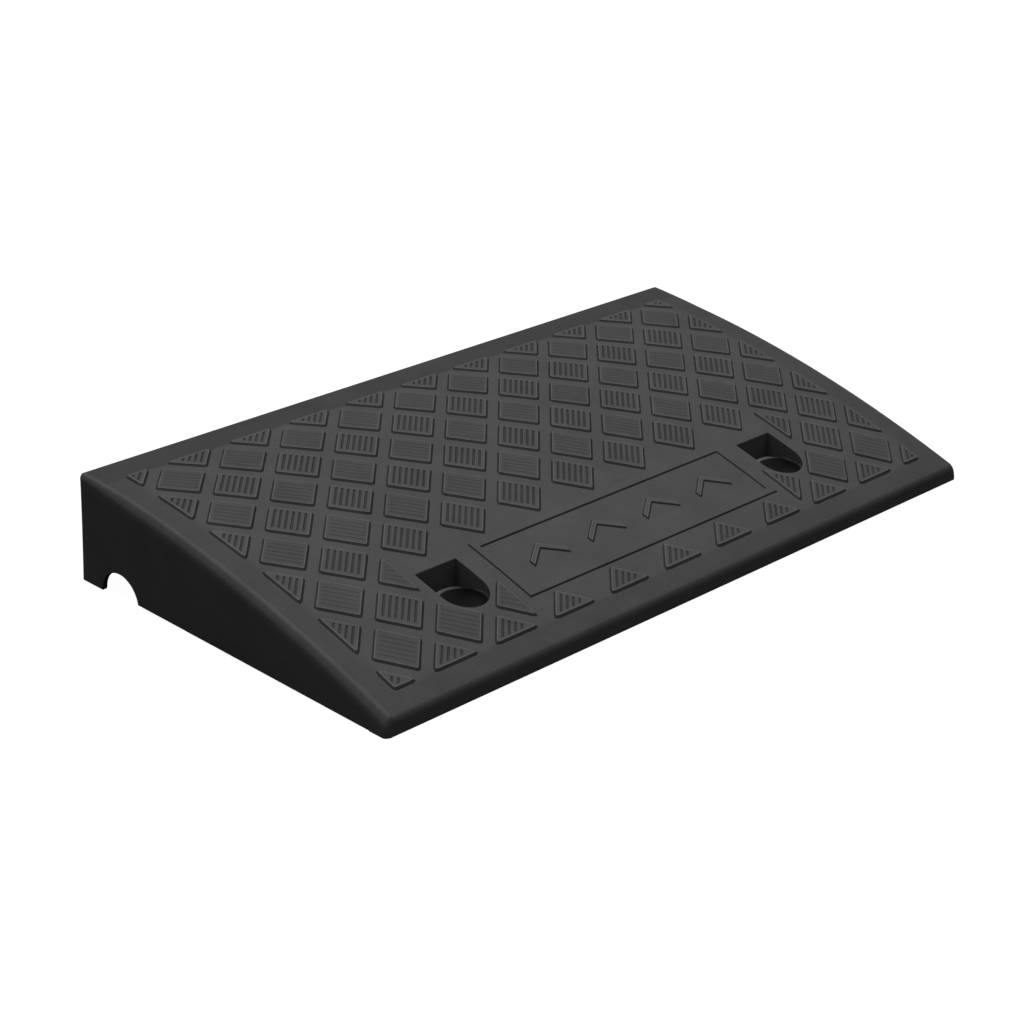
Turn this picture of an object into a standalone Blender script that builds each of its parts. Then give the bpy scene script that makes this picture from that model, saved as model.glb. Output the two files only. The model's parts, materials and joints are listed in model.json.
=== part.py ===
"""Kerb ramp: a moulded threshold ramp that bridges a kerb of about 7 cm.

X runs along the kerb, Y from the low nose to the kerb face and Z up. The origin lies on the
ground, under the middle of the ramp. Lengths are metres.
"""
import math

import bmesh
import bpy
from mathutils import Matrix, Vector

# Outer size
RAMP_LENGTH = 0.500
RAMP_DEPTH = 0.267
NOSE_HEIGHT = 0.0107
BACK_HEIGHT = 0.0685
DECK_BOW = 0.0102
SIDE_EDGE_RADIUS = 0.008
NOSE_EDGE_RADIUS = 0.004
BACK_EDGE_RADIUS = 0.003
NOSE_CORNER_RADIUS = 0.003

# Skin, walls and ribs
SKIN_THICKNESS = 0.004
WALL_THICKNESS = 0.004
RIB_THICKNESS = 0.003
WIDEST_BAY = 0.048
NOSE_BAR_DEPTH = 0.012
NOSE_BAR_LUG = 0.001
RIM_LAND = 0.001
SKIRT_LIFT = 0.0027
SEAT_GAP = 0.0003

# Cable channel, a half round tunnel along the kerb side
CHANNEL_RADIUS = 0.016
CHANNEL_FROM_BACK = 0.037
CHANNEL_LAND = 0.008
RIB_CLEARANCE = 0.004

# Tread pads, squares standing on a corner
PAD_DIAGONAL = 0.0355
PAD_PITCH = 0.0465
PAD_HEIGHT = 0.0015
PAD_CHAMFER = 0.0004
PAD_MARGIN = 0.0010
RELIEF_ROOT = 0.0010
TREAD_FROM_NOSE = 0.0141
TREAD_FROM_BACK = 0.0204
TREAD_FROM_SIDE = 0.0175

# Raised frame and chevrons on the panel
PANEL_LENGTH = 0.220
PANEL_WIDTH = 0.0516
PANEL_RIM = 0.0055
PANEL_RELIEF = 0.0012
CHEVRON_COUNT = 4
CHEVRON_SPACING = 0.048
CHEVRON_SPAN = 0.030
CHEVRON_RISE = 0.011
CHEVRON_STROKE = 0.0055

# Bolt pockets, each a D in plan with its flat end to the kerb
POCKET_PADS_FROM_MIDDLE = 3
POCKET_PAD_ROW = 2
POCKET_WIDTH = 0.034
POCKET_LENGTH = 0.0368
POCKET_FLOOR_HEIGHT = 0.022
COUNTERBORE_RADIUS = 0.015
BOLT_SEAT_HEIGHT = 0.008
BOLT_HOLE_RADIUS = 0.0065
WELL_WALL = 0.003
WELL_CLEARANCE = 0.0012

# How finely curves are cut into flats, and the sharpest turn still shaded as round
DECK_STEPS = 24
EDGE_STEPS = 4
ROUND_STEPS = 40
SMOOTH_TURN = math.radians(35)

# How far cutters reach past what they cut
OVERSHOOT = 0.020

# Places worked out from the sizes above
FRONT = -RAMP_DEPTH / 2
BACK = RAMP_DEPTH / 2
HALF_LENGTH = RAMP_LENGTH / 2
CHANNEL_Y = BACK - CHANNEL_FROM_BACK
HEEL_START = CHANNEL_Y - CHANNEL_RADIUS - CHANNEL_LAND
SIDE_RADIUS = min(SIDE_EDGE_RADIUS, NOSE_HEIGHT - 2 * RIM_LAND)
RIM_DEPTH = SIDE_RADIUS + RIM_LAND
BAR_END = FRONT + NOSE_BAR_DEPTH
WALL_START = BAR_END + NOSE_BAR_LUG
TREAD_FRONT = FRONT + TREAD_FROM_NOSE
ROW_SPACING = PAD_PITCH / 2
POCKET_X = POCKET_PADS_FROM_MIDDLE * PAD_PITCH
POCKET_Y = TREAD_FRONT + POCKET_PAD_ROW * ROW_SPACING
POCKET_ROUND_Y = POCKET_Y - POCKET_LENGTH / 2 + POCKET_WIDTH / 2


def deck_height(y):
    """Height of the deck above the ground, an arc bowed above its chord."""
    share = (y - FRONT) / RAMP_DEPTH
    chord = NOSE_HEIGHT + (BACK_HEIGHT - NOSE_HEIGHT) * share
    return chord + 4 * DECK_BOW * share * (1 - share)


def deck_slope(y):
    """Rise of the deck per unit of depth."""
    share = (y - FRONT) / RAMP_DEPTH
    return (BACK_HEIGHT - NOSE_HEIGHT + 4 * DECK_BOW * (1 - 2 * share)) / RAMP_DEPTH


def skirt_height(y):
    """Height of the lower edges: on the ground at the nose bar and behind the channel's middle."""
    if y > CHANNEL_Y:
        return 0.0
    return SKIRT_LIFT * max(0.0, y - BAR_END) / (BACK - BAR_END)


def lap_height(y):
    """Height at which a lengthwise and a crosswise rib meet in their half laps."""
    return (skirt_height(y) + deck_height(y) - SKIN_THICKNESS) / 2


def even_places(start, end):
    """Places from start to end in equal bays, none wider than the widest bay."""
    bays = max(1, math.ceil((end - start) / WIDEST_BAY))
    return [start + (end - start) * index / bays for index in range(bays + 1)]


def new_material(name, colour, roughness):
    """A plain plastic finish."""
    material = bpy.data.materials.new(name)
    material.use_nodes = True
    shader = material.node_tree.nodes["Principled BSDF"]
    shader.inputs["Base Color"].default_value = (*colour, 1.0)
    shader.inputs["Roughness"].default_value = roughness
    shader.inputs["Metallic"].default_value = 0.0
    return material


def new_object(name, mesh, collection):
    """Put a mesh in the scene under a name."""
    made = bpy.data.objects.new(name, mesh)
    collection.objects.link(made)
    return made


def mesh_of_curve(curve_object, name):
    """Turn a filled curve into one welded mesh with its flat faces left whole."""
    bpy.context.view_layer.update()
    evaluated = curve_object.evaluated_get(bpy.context.evaluated_depsgraph_get())
    mesh = bpy.data.meshes.new_from_object(evaluated)
    mesh.name = name
    mesh.transform(curve_object.matrix_world)
    bpy.data.objects.remove(curve_object)
    work = bmesh.new()
    work.from_mesh(mesh)
    bmesh.ops.remove_doubles(work, verts=work.verts, dist=0.00001)
    bmesh.ops.dissolve_limit(
        work, angle_limit=math.radians(0.05), verts=work.verts, edges=work.edges
    )
    bmesh.ops.recalc_face_normals(work, faces=work.faces)
    work.to_mesh(mesh)
    work.free()
    return mesh


def extruded_outline(name, outline, thickness, matrix):
    """Mesh of a flat outline given half its thickness to each side of its plane."""
    curve = bpy.data.curves.new(name, "CURVE")
    curve.dimensions = "2D"
    curve.fill_mode = "BOTH"
    curve.extrude = thickness / 2
    spline = curve.splines.new("POLY")
    spline.points.add(len(outline) - 1)
    for point, (across, along) in zip(spline.points, outline):
        point.co = (across, along, 0.0, 1.0)
    spline.use_cyclic_u = True
    holder = new_object(name, curve, bpy.context.scene.collection)
    holder.matrix_world = matrix
    return mesh_of_curve(holder, name)


def side_plate(name, outline, x_from, x_to):
    """Mesh of an outline in Y and Z, extruded along the kerb."""
    turn = Matrix(((0, 0, 1, 0), (1, 0, 0, 0), (0, 1, 0, 0), (0, 0, 0, 1)))
    place = Matrix.Translation(((x_from + x_to) / 2, 0, 0))
    return extruded_outline(name, outline, x_to - x_from, place @ turn)


def plan_plate(name, outline, z_from, z_to):
    """Mesh of an outline in X and Y, extruded upward."""
    place = Matrix.Translation((0, 0, (z_from + z_to) / 2))
    return extruded_outline(name, outline, z_to - z_from, place)


def deck_line(y_from, y_to, drop):
    """Points along the deck from y_from to y_to, lowered by drop."""
    points = []
    for step in range(DECK_STEPS + 1):
        y = y_from + (y_to - y_from) * step / DECK_STEPS
        points.append((y, deck_height(y) - drop))
    return points


def skirt_line(y_from, y_to):
    """Lower edge from front to back, with its step down in the middle of the channel."""
    points = [(y_from, skirt_height(y_from))]
    if y_from < BAR_END < y_to:
        points.append((BAR_END, 0.0))
    if y_from < CHANNEL_Y < y_to:
        points.append((CHANNEL_Y, skirt_height(CHANNEL_Y)))
        points.append((CHANNEL_Y, 0.0))
    points.append((y_to, skirt_height(y_to)))
    return points


def ramp_outline(y_from, y_to, drop):
    """Side outline of the ramp between two depths, its top lowered by drop."""
    return skirt_line(y_from, y_to) + deck_line(y_to, y_from, drop)


def pocket_outline(x, grow):
    """D of a bolt pocket in plan, its flat end to the kerb, grown all round by grow."""
    half = POCKET_WIDTH / 2 + grow
    back = POCKET_Y + POCKET_LENGTH / 2 + grow
    points = [(x - half, back)]
    for step in range(ROUND_STEPS // 2 + 1):
        angle = math.pi + math.pi * step / (ROUND_STEPS // 2)
        points.append((x + half * math.cos(angle), POCKET_ROUND_Y + half * math.sin(angle)))
    points.append((x + half, back))
    return points


def panel_outline(shrink):
    """Rectangle of the panel in plan, shrunk by shrink."""
    half_length = PANEL_LENGTH / 2 - shrink
    half_width = PANEL_WIDTH / 2 - shrink
    front, back = POCKET_Y - half_width, POCKET_Y + half_width
    return [(-half_length, front), (half_length, front), (half_length, back), (-half_length, back)]


def round_bar(name, radius, centre, length, along_x, collection):
    """Cylinder along X or Z."""
    work = bmesh.new()
    bmesh.ops.create_cone(
        work, cap_ends=True, segments=ROUND_STEPS, radius1=radius, radius2=radius, depth=length
    )
    mesh = bpy.data.meshes.new(name)
    work.to_mesh(mesh)
    work.free()
    bar = new_object(name, mesh, collection)
    bar.location = centre
    if along_x:
        bar.rotation_euler = (0, math.pi / 2, 0)
    return bar


def joined_boxes(name, boxes, collection):
    """One object that holds separate boxes, each given by its middle and its size."""
    work = bmesh.new()
    for middle, size in boxes:
        matrix = Matrix.Translation(middle) @ Matrix.Diagonal((*size, 1))
        bmesh.ops.create_cube(work, size=1.0, matrix=matrix)
    mesh = bpy.data.meshes.new(name)
    work.to_mesh(mesh)
    work.free()
    return new_object(name, mesh, collection)


def near(value, place):
    """Whether a coordinate lies on a plane, to a hundredth of a millimetre."""
    return abs(value - place) < 0.00001


def round_edges(form, edge_radius, width):
    """Bevel each edge in proportion to the radius that edge_radius gives it."""
    work = bmesh.new()
    work.from_mesh(form.data)
    weights = work.edges.layers.float.new("bevel_weight_edge")
    for edge in work.edges:
        edge[weights] = edge_radius(edge.verts[0].co, edge.verts[1].co) / SIDE_RADIUS
    work.to_mesh(form.data)
    work.free()
    bevel = form.modifiers.new("rounded edges", "BEVEL")
    bevel.limit_method = "WEIGHT"
    bevel.width = width
    bevel.segments = EDGE_STEPS
    bevel.use_clamp_overlap = False


def add_boolean(target, other, operation):
    """Cut, join or keep the shared part with another object."""
    boolean = target.modifiers.new(operation.lower() + " " + other.name, "BOOLEAN")
    boolean.operation = operation
    boolean.object = other
    boolean.solver = "EXACT"


def on_deck_edge(one, other, half_length, drop):
    """Whether an edge runs along the top of a side, with the top lowered by drop."""
    on_side = near(abs(one.x), half_length) and near(one.x, other.x)
    return on_side and all(near(end.z, deck_height(end.y) - drop) for end in (one, other))


def outer_form(name, collection):
    """The whole ramp as a solid block with rounded deck, nose and corner edges."""
    outline = ramp_outline(FRONT, BACK, 0.0)
    form = new_object(name, side_plate(name, outline, -HALF_LENGTH, HALF_LENGTH), collection)

    def edge_radius(one, other):
        if on_deck_edge(one, other, HALF_LENGTH, 0.0):
            return SIDE_RADIUS
        along_kerb = near(one.y, other.y) and near(one.z, other.z)
        if along_kerb and near(one.y, FRONT) and near(one.z, NOSE_HEIGHT):
            return NOSE_EDGE_RADIUS
        if along_kerb and near(one.y, BACK) and near(one.z, BACK_HEIGHT):
            return BACK_EDGE_RADIUS
        if near(one.x, other.x) and near(one.y, FRONT) and near(other.y, FRONT):
            return NOSE_CORNER_RADIUS
        return 0.0

    round_edges(form, edge_radius, SIDE_RADIUS)
    return form


def space_below(y_from, drop):
    """Side outline of all that lies behind y_from and more than drop under the deck."""
    y_to = BACK + OVERSHOOT
    return [(y_from, -OVERSHOOT), (y_to, -OVERSHOOT)] + deck_line(y_to, y_from, drop)


def cavity_form(name, gap, collection):
    """Space under the skin, shrunk by gap, with upper side edges rounded as the skin is."""
    half_length = HALF_LENGTH - WALL_THICKNESS - gap
    drop = SKIN_THICKNESS + gap
    outline = space_below(BAR_END + gap, drop)
    form = new_object(name, side_plate(name, outline, -half_length, half_length), collection)

    def edge_radius(one, other):
        return SIDE_RADIUS if on_deck_edge(one, other, half_length, drop) else 0.0

    inner_radius = max(RIM_LAND, SIDE_RADIUS - WALL_THICKNESS - gap)
    round_edges(form, edge_radius, inner_radius)
    return form


def clipped(outline, axis, limit, keep_above):
    """Part of a convex outline on one side of a line across the axis."""
    sign = 1 if keep_above else -1
    kept = []
    for index, point in enumerate(outline):
        before = outline[index - 1]
        depth = sign * (point[axis] - limit)
        depth_before = sign * (before[axis] - limit)
        if depth * depth_before < 0:
            share = depth_before / (depth_before - depth)
            kept.append(tuple(start + share * (end - start) for start, end in zip(before, point)))
        if depth >= 0:
            kept.append(point)
    return kept


def clear_of(outline, other, margin):
    """Whether two convex outlines lie at least margin apart along some edge's normal."""
    for shape in (outline, other):
        for index, point in enumerate(shape):
            edge = Vector(point) - Vector(shape[index - 1])
            normal = Vector((edge.y, -edge.x)).normalized()
            near_side = [normal.dot(Vector(corner)) for corner in outline]
            far_side = [normal.dot(Vector(corner)) for corner in other]
            gap = max(min(near_side) - max(far_side), min(far_side) - max(near_side))
            if gap > margin:
                return True
    return False


def tread_size():
    """Columns and rows of pads that fit the deck, both even numbers."""
    half_across = HALF_LENGTH - TREAD_FROM_SIDE + PAD_MARGIN
    along = RAMP_DEPTH - TREAD_FROM_NOSE - TREAD_FROM_BACK + PAD_MARGIN
    return 2 * int(half_across / PAD_PITCH), 2 * int(along / PAD_PITCH)


def pad_outline(row, column, columns, rows):
    """Plan outline of one tread pad, cut at the tread's border, or None where none fits.

    Rows count from the nose, and odd rows stand between the columns of even ones. A pad that
    would meet a pocket or the panel is halved along its middle, or left out.
    """
    half = PAD_DIAGONAL / 2
    side = columns / 2 * PAD_PITCH
    tread_back = TREAD_FRONT + rows * ROW_SPACING
    x = (column + row % 2 / 2) * PAD_PITCH - side
    y = TREAD_FRONT + row * ROW_SPACING
    whole = [(x - half, y), (x, y - half), (x + half, y), (x, y + half)]
    whole = clipped(clipped(whole, 0, -side, True), 0, side, False)
    whole = clipped(clipped(whole, 1, TREAD_FRONT, True), 1, tread_back, False)
    left_half = clipped(whole, 0, x, False)
    right_half = clipped(whole, 0, x, True)
    blocks = [panel_outline(0.0), pocket_outline(-POCKET_X, 0.0), pocket_outline(POCKET_X, 0.0)]
    for piece in (whole, left_half, right_half):
        if len(piece) > 2 and all(clear_of(piece, block, PAD_MARGIN) for block in blocks):
            return piece
    return None


def pad_outlines():
    """Plan outlines of all the tread pads, row by row from the nose."""
    columns, rows = tread_size()
    outlines = []
    for row in range(rows + 1):
        for column in range(columns + 1 - row % 2):
            outline = pad_outline(row, column, columns, rows)
            if outline:
                outlines.append(outline)
    return outlines


def chevron_outlines():
    """Plan outlines of the chevrons in the panel, all pointing up the ramp."""
    half = CHEVRON_SPAN / 2
    tip = POCKET_Y + (CHEVRON_RISE + CHEVRON_STROKE) / 2
    foot = tip - CHEVRON_RISE
    outlines = []
    for index in range(CHEVRON_COUNT):
        x = (index - (CHEVRON_COUNT - 1) / 2) * CHEVRON_SPACING
        outlines.append([
            (x - half, foot), (x - half, foot - CHEVRON_STROKE), (x, tip - CHEVRON_STROKE),
            (x + half, foot - CHEVRON_STROKE), (x + half, foot), (x, tip),
        ])
    return outlines


def raised_plate(outline, relief):
    """Mesh of a plate rooted in the deck, chamfered on top and tilted as the deck is."""
    y = sum(point[1] for point in outline) / len(outline)
    mesh = plan_plate("plate", outline, -RELIEF_ROOT, relief)
    work = bmesh.new()
    work.from_mesh(mesh)
    top = [edge for edge in work.edges if all(near(end.co.z, relief) for end in edge.verts)]
    bmesh.ops.bevel(work, geom=top, offset=PAD_CHAMFER, segments=1, affect="EDGES")
    tilt = Matrix.Identity(4)
    tilt[2][1] = deck_slope(y)
    tilt[2][3] = deck_height(y) - deck_slope(y) * y
    bmesh.ops.transform(work, matrix=tilt, verts=work.verts)
    work.to_mesh(mesh)
    work.free()
    return mesh


def joined_plates(name, outlines, relief, collection):
    """One object that holds a separate raised plate for each outline."""
    group = bmesh.new()
    for outline in outlines:
        plate = raised_plate(outline, relief)
        group.from_mesh(plate)
        bpy.data.meshes.remove(plate)
    mesh = bpy.data.meshes.new(name)
    group.to_mesh(mesh)
    group.free()
    return new_object(name, mesh, collection)


def build_panel_frame(cutters):
    """Rectangular frame that follows the curve of the deck, to be joined to it."""
    y_from = POCKET_Y - PANEL_WIDTH / 2
    y_to = POCKET_Y + PANEL_WIDTH / 2
    band = deck_line(y_from, y_to, RELIEF_ROOT) + deck_line(y_to, y_from, -PANEL_RELIEF)
    mesh = side_plate("panel_frame", band, -PANEL_LENGTH / 2, PANEL_LENGTH / 2)
    frame = new_object("panel_frame", mesh, cutters)
    inside = plan_plate("panel_inside", panel_outline(PANEL_RIM), 0.0, BACK_HEIGHT + OVERSHOOT)
    add_boolean(frame, new_object("panel_inside", inside, cutters), "DIFFERENCE")
    return frame


def build_deck(parts, cutters, material):
    """Curved deck with its tread, nose bar, rounded rims and pocket openings."""
    deck = outer_form("deck_plate", parts)
    deck.data.materials.append(material)
    reach = HALF_LENGTH + OVERSHOOT
    below_rims = side_plate("space_below_rims", space_below(WALL_START, RIM_DEPTH), -reach, reach)
    add_boolean(deck, new_object("space_below_rims", below_rims, cutters), "DIFFERENCE")
    add_boolean(deck, cavity_form("space_under_skin", 0.0, cutters), "DIFFERENCE")
    add_boolean(deck, joined_plates("tread_pads", pad_outlines(), PAD_HEIGHT, cutters), "UNION")
    add_boolean(deck, build_panel_frame(cutters), "UNION")
    chevrons = joined_plates("panel_chevrons", chevron_outlines(), PANEL_RELIEF, cutters)
    add_boolean(deck, chevrons, "UNION")
    for side in (-1, 1):
        outline = pocket_outline(side * POCKET_X, 0.0)
        pocket = plan_plate("pocket_opening", outline, -OVERSHOOT, BACK_HEIGHT + OVERSHOOT)
        add_boolean(deck, new_object("pocket_opening", pocket, cutters), "DIFFERENCE")


def side_wall_mesh(name, y_from, y_to, material):
    """Stretch of a side wall between two depths, standing under the deck's rim."""
    outline = ramp_outline(y_from, y_to, RIM_DEPTH + SEAT_GAP)
    mesh = side_plate(name, outline, -WALL_THICKNESS / 2, WALL_THICKNESS / 2)
    mesh.materials.append(material)
    return mesh


def build_side_walls(channel, parts, material):
    """Side walls in two stretches: to the cable channel, and the heel that arches over it."""
    wall_mesh = side_wall_mesh("side_wall", WALL_START + SEAT_GAP, HEEL_START - SEAT_GAP, material)
    heel_mesh = side_wall_mesh("side_heel", HEEL_START, BACK, material)
    for name, side in (("left", -1), ("right", 1)):
        wall = new_object(name + "_side_wall", wall_mesh, parts)
        heel = new_object(name + "_side_heel", heel_mesh, parts)
        for piece in (wall, heel):
            piece.location.x = side * (HALF_LENGTH - WALL_THICKNESS / 2)
        add_boolean(heel, channel, "DIFFERENCE")


def build_back_wall(cavity, parts, material):
    """Wall that stands against the kerb, between the side walls."""
    outline = ramp_outline(BACK - WALL_THICKNESS, BACK, 0.0)
    mesh = side_plate("back_wall", outline, -HALF_LENGTH, HALF_LENGTH)
    wall = new_object("back_wall", mesh, parts)
    wall.data.materials.append(material)
    add_boolean(wall, cavity, "INTERSECT")


def build_bolt_well(name, side, cavity, parts, cutters, material):
    """D sleeve below the deck, narrowing to a round boss with the bolt's seat and hole."""
    x = side * POCKET_X
    top = BACK_HEIGHT + OVERSHOOT
    floor_underside = POCKET_FLOOR_HEIGHT - WELL_WALL
    sleeve = plan_plate(name, pocket_outline(x, WELL_WALL), floor_underside, top)
    well = new_object(name, sleeve, parts)
    well.data.materials.append(material)

    def upright(label, radius, z_from, z_to):
        centre = (x, POCKET_ROUND_Y, (z_from + z_to) / 2)
        return round_bar(name + label, radius, centre, z_to - z_from, False, cutters)

    boss_foot = skirt_height(POCKET_ROUND_Y)
    boss_top = POCKET_FLOOR_HEIGHT - WELL_WALL / 2
    boss = upright("_boss", COUNTERBORE_RADIUS + WELL_WALL, boss_foot, boss_top)
    add_boolean(well, boss, "UNION")
    add_boolean(well, cavity, "INTERSECT")
    pocket = plan_plate(
        name + "_pocket", pocket_outline(x, 0.0), POCKET_FLOOR_HEIGHT, top + OVERSHOOT
    )
    add_boolean(well, new_object(name + "_pocket", pocket, cutters), "DIFFERENCE")
    counterbore = upright("_counterbore", COUNTERBORE_RADIUS, BOLT_SEAT_HEIGHT, top)
    add_boolean(well, counterbore, "DIFFERENCE")
    add_boolean(well, upright("_bolt_hole", BOLT_HOLE_RADIUS, -OVERSHOOT, top), "DIFFERENCE")


def lengthwise_rib_places():
    """Middle of each rib from nose to kerb: one on each flank of a pocket, then even bays."""
    reach = POCKET_WIDTH / 2 + WELL_WALL + WELL_CLEARANCE + RIB_THICKNESS / 2
    between_pockets = even_places(-POCKET_X + reach, POCKET_X - reach)
    outside = even_places(POCKET_X + reach, HALF_LENGTH - WALL_THICKNESS)[:-1]
    return [-x for x in reversed(outside)] + between_pockets + outside


def crosswise_rib_places():
    """Middle of each rib along the kerb: before the pockets, then from them to the channel."""
    reach = POCKET_LENGTH / 2 + WELL_WALL + WELL_CLEARANCE + RIB_THICKNESS / 2
    last = HEEL_START - RIB_THICKNESS / 2
    return [POCKET_Y - reach] + even_places(POCKET_Y + reach, last)


def build_lengthwise_ribs(cavity, clear_channel, slots, parts, material):
    """Upright ribs from the nose bar to the back wall, arched clear of the channel."""
    outline = ramp_outline(FRONT, BACK - WALL_THICKNESS - SEAT_GAP, 0.0)
    mesh = side_plate("lengthwise_rib", outline, -RIB_THICKNESS / 2, RIB_THICKNESS / 2)
    mesh.materials.append(material)
    for number, x in enumerate(lengthwise_rib_places(), start=1):
        rib = new_object(f"lengthwise_rib_{number:02d}", mesh, parts)
        rib.location.x = x
        add_boolean(rib, cavity, "INTERSECT")
        add_boolean(rib, clear_channel, "DIFFERENCE")
        add_boolean(rib, slots, "DIFFERENCE")


def build_crosswise_rib(number, y, cavity, slots, parts, material):
    """Upright rib along the kerb, half lapped over the lengthwise ribs."""
    name = f"crosswise_rib_{number}"
    outline = ramp_outline(y - RIB_THICKNESS / 2, y + RIB_THICKNESS / 2, 0.0)
    rib = new_object(name, side_plate(name, outline, -HALF_LENGTH, HALF_LENGTH), parts)
    rib.data.materials.append(material)
    add_boolean(rib, cavity, "INTERSECT")
    add_boolean(rib, slots, "DIFFERENCE")


def build_ribs(cavity, clear_channel, parts, cutters, material):
    """Egg-crate grid of ribs: the lengthwise ones are slotted from below, the others above."""
    slot = RIB_THICKNESS + 2 * SEAT_GAP
    lengthwise = lengthwise_rib_places()
    crosswise = crosswise_rib_places()
    lower_slots = []
    for y in crosswise:
        z_from, z_to = -OVERSHOOT, lap_height(y) + SEAT_GAP
        lower_slots.append(((0, y, (z_from + z_to) / 2), (RAMP_LENGTH, slot, z_to - z_from)))
    slots = joined_boxes("lower_slots", lower_slots, cutters)
    build_lengthwise_ribs(cavity, clear_channel, slots, parts, material)
    for number, y in enumerate(crosswise, start=1):
        z_from, z_to = lap_height(y), BACK_HEIGHT + OVERSHOOT
        size = (slot, OVERSHOOT, z_to - z_from)
        upper_slots = [((x, y, (z_from + z_to) / 2), size) for x in lengthwise]
        slots = joined_boxes(f"upper_slots_{number}", upper_slots, cutters)
        build_crosswise_rib(number, y, cavity, slots, parts, material)


def build_ramp():
    """Make every piece of the ramp."""
    for leftover in list(bpy.data.objects):
        bpy.data.objects.remove(leftover)
    parts = bpy.data.collections.new("kerb_ramp")
    cutters = bpy.data.collections.new("cutters")
    bpy.context.scene.collection.children.link(parts)
    bpy.context.scene.collection.children.link(cutters)

    deck_black = new_material("deck_black", (0.052, 0.052, 0.054), 0.55)
    wall_black = new_material("wall_black", (0.034, 0.034, 0.036), 0.60)
    rib_black = new_material("rib_black", (0.040, 0.040, 0.042), 0.65)

    axis = (0, CHANNEL_Y, 0)
    length = RAMP_LENGTH + OVERSHOOT
    channel = round_bar("cable_channel", CHANNEL_RADIUS, axis, length, True, cutters)
    clear_radius = CHANNEL_RADIUS + RIB_CLEARANCE
    clear_channel = round_bar("clear_channel", clear_radius, axis, length, True, cutters)
    cavity = cavity_form("cavity", SEAT_GAP, cutters)

    build_deck(parts, cutters, deck_black)
    build_side_walls(channel, parts, wall_black)
    build_back_wall(cavity, parts, wall_black)
    build_bolt_well("left_bolt_well", -1, cavity, parts, cutters, rib_black)
    build_bolt_well("right_bolt_well", 1, cavity, parts, cutters, rib_black)
    build_ribs(cavity, clear_channel, parts, cutters, rib_black)

    ramp_base = new_object("ramp_base", None, bpy.context.scene.collection)
    for piece in parts.objects:
        piece.parent = ramp_base
    for made in list(parts.objects) + list(cutters.objects):
        made.data.shade_smooth()
        made.data.set_sharp_from_angle(angle=SMOOTH_TURN)
    for cutter in cutters.objects:
        cutter.hide_render = True
        cutter.display_type = "WIRE"


build_ramp()
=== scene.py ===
"""Curb ramp, dressed: its visible surfaces, its plastic, and the studio it stands in.

X runs along the kerb, Y from the low nose to the kerb and Z up, in metres, with the origin on the
ground under the middle of the ramp. A piece is first built flat: the height of each point is
measured from the surface of the deck, or from the ground where the point is a foot. Geometry
Nodes then raise the piece onto the bowed line of the deck.
"""
import json
import logging
import math
from dataclasses import dataclass, field, replace
from enum import Enum
from typing import Iterable, NamedTuple, Sequence

import bmesh
import bpy
from mathutils import Euler, Matrix, Vector
from mathutils.geometry import delaunay_2d_cdt

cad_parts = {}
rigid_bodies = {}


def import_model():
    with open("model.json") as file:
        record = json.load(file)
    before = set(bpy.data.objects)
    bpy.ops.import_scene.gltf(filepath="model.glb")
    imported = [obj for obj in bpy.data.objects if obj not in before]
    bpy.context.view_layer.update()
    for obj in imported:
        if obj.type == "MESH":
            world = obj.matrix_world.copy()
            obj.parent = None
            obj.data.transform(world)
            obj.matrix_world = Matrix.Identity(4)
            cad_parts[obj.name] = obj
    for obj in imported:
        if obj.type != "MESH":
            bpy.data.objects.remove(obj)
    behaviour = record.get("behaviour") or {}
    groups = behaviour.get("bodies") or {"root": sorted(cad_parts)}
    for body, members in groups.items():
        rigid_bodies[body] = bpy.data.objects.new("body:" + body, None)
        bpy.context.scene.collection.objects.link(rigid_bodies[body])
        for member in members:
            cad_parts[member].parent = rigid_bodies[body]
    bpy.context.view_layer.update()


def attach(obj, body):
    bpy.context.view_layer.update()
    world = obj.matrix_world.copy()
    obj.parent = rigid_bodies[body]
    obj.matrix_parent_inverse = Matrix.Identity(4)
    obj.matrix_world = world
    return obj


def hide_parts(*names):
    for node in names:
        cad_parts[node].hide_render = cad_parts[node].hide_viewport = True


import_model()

LOG = logging.getLogger("curb_ramp")
FOOT = "foot"
PAINTED_LIGHT = "wear"
KIND = "kind"

Mesh = bpy.types.Mesh
Object = bpy.types.Object
Material = bpy.types.Material
Socket = bpy.types.NodeSocket
Row = list[bmesh.types.BMVert]
Profile = Sequence[tuple[float, float]]


class Side(Enum):
    """End of the ramp, seen from the road."""

    LEFT = -1
    RIGHT = 1


class GrooveRun(Enum):
    """Direction in which the grooves of a tread pad run, as a unit vector in plan."""

    UP_THE_RAMP = (math.sqrt(0.5), math.sqrt(0.5))
    ACROSS_THE_RAMP = (math.sqrt(0.5), -math.sqrt(0.5))


class Cut(Enum):
    """Line through the middle of a tread pad that cuts it, as the normal of the lost half."""

    LEFT_HALF_LOST = (-1.0, 0.0)
    RIGHT_HALF_LOST = (1.0, 0.0)
    FRONT_HALF_LOST = (0.0, -1.0)
    BACK_HALF_LOST = (0.0, 1.0)


class Spot(NamedTuple):
    """A point of a flat piece; foot is 1 on the ground, and its painted light is above 0 for a painted
    highlight and below 0 for painted shade.
    """

    x: float
    y: float
    z: float
    foot: float = 0.0
    wear: float = 0.0


class Level(NamedTuple):
    """Ring of a raised shape: how far it lies inside the outline, its height and its painted light or
    shade.
    """

    inward: float
    height: float
    wear: float = 0.0


class HalfPlane(NamedTuple):
    """All of the plan whose distance along a unit normal is at most reach."""

    normal: tuple[float, float]
    reach: float


class Place(NamedTuple):
    """Where a repeated shape stands in plan, and the number of that shape."""

    x: float
    y: float
    kind: int = 0


class Pattern(NamedTuple):
    """Noise on a surface: the distance between its bumps in metres, and its layers of detail."""

    size: float
    detail: float


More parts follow.
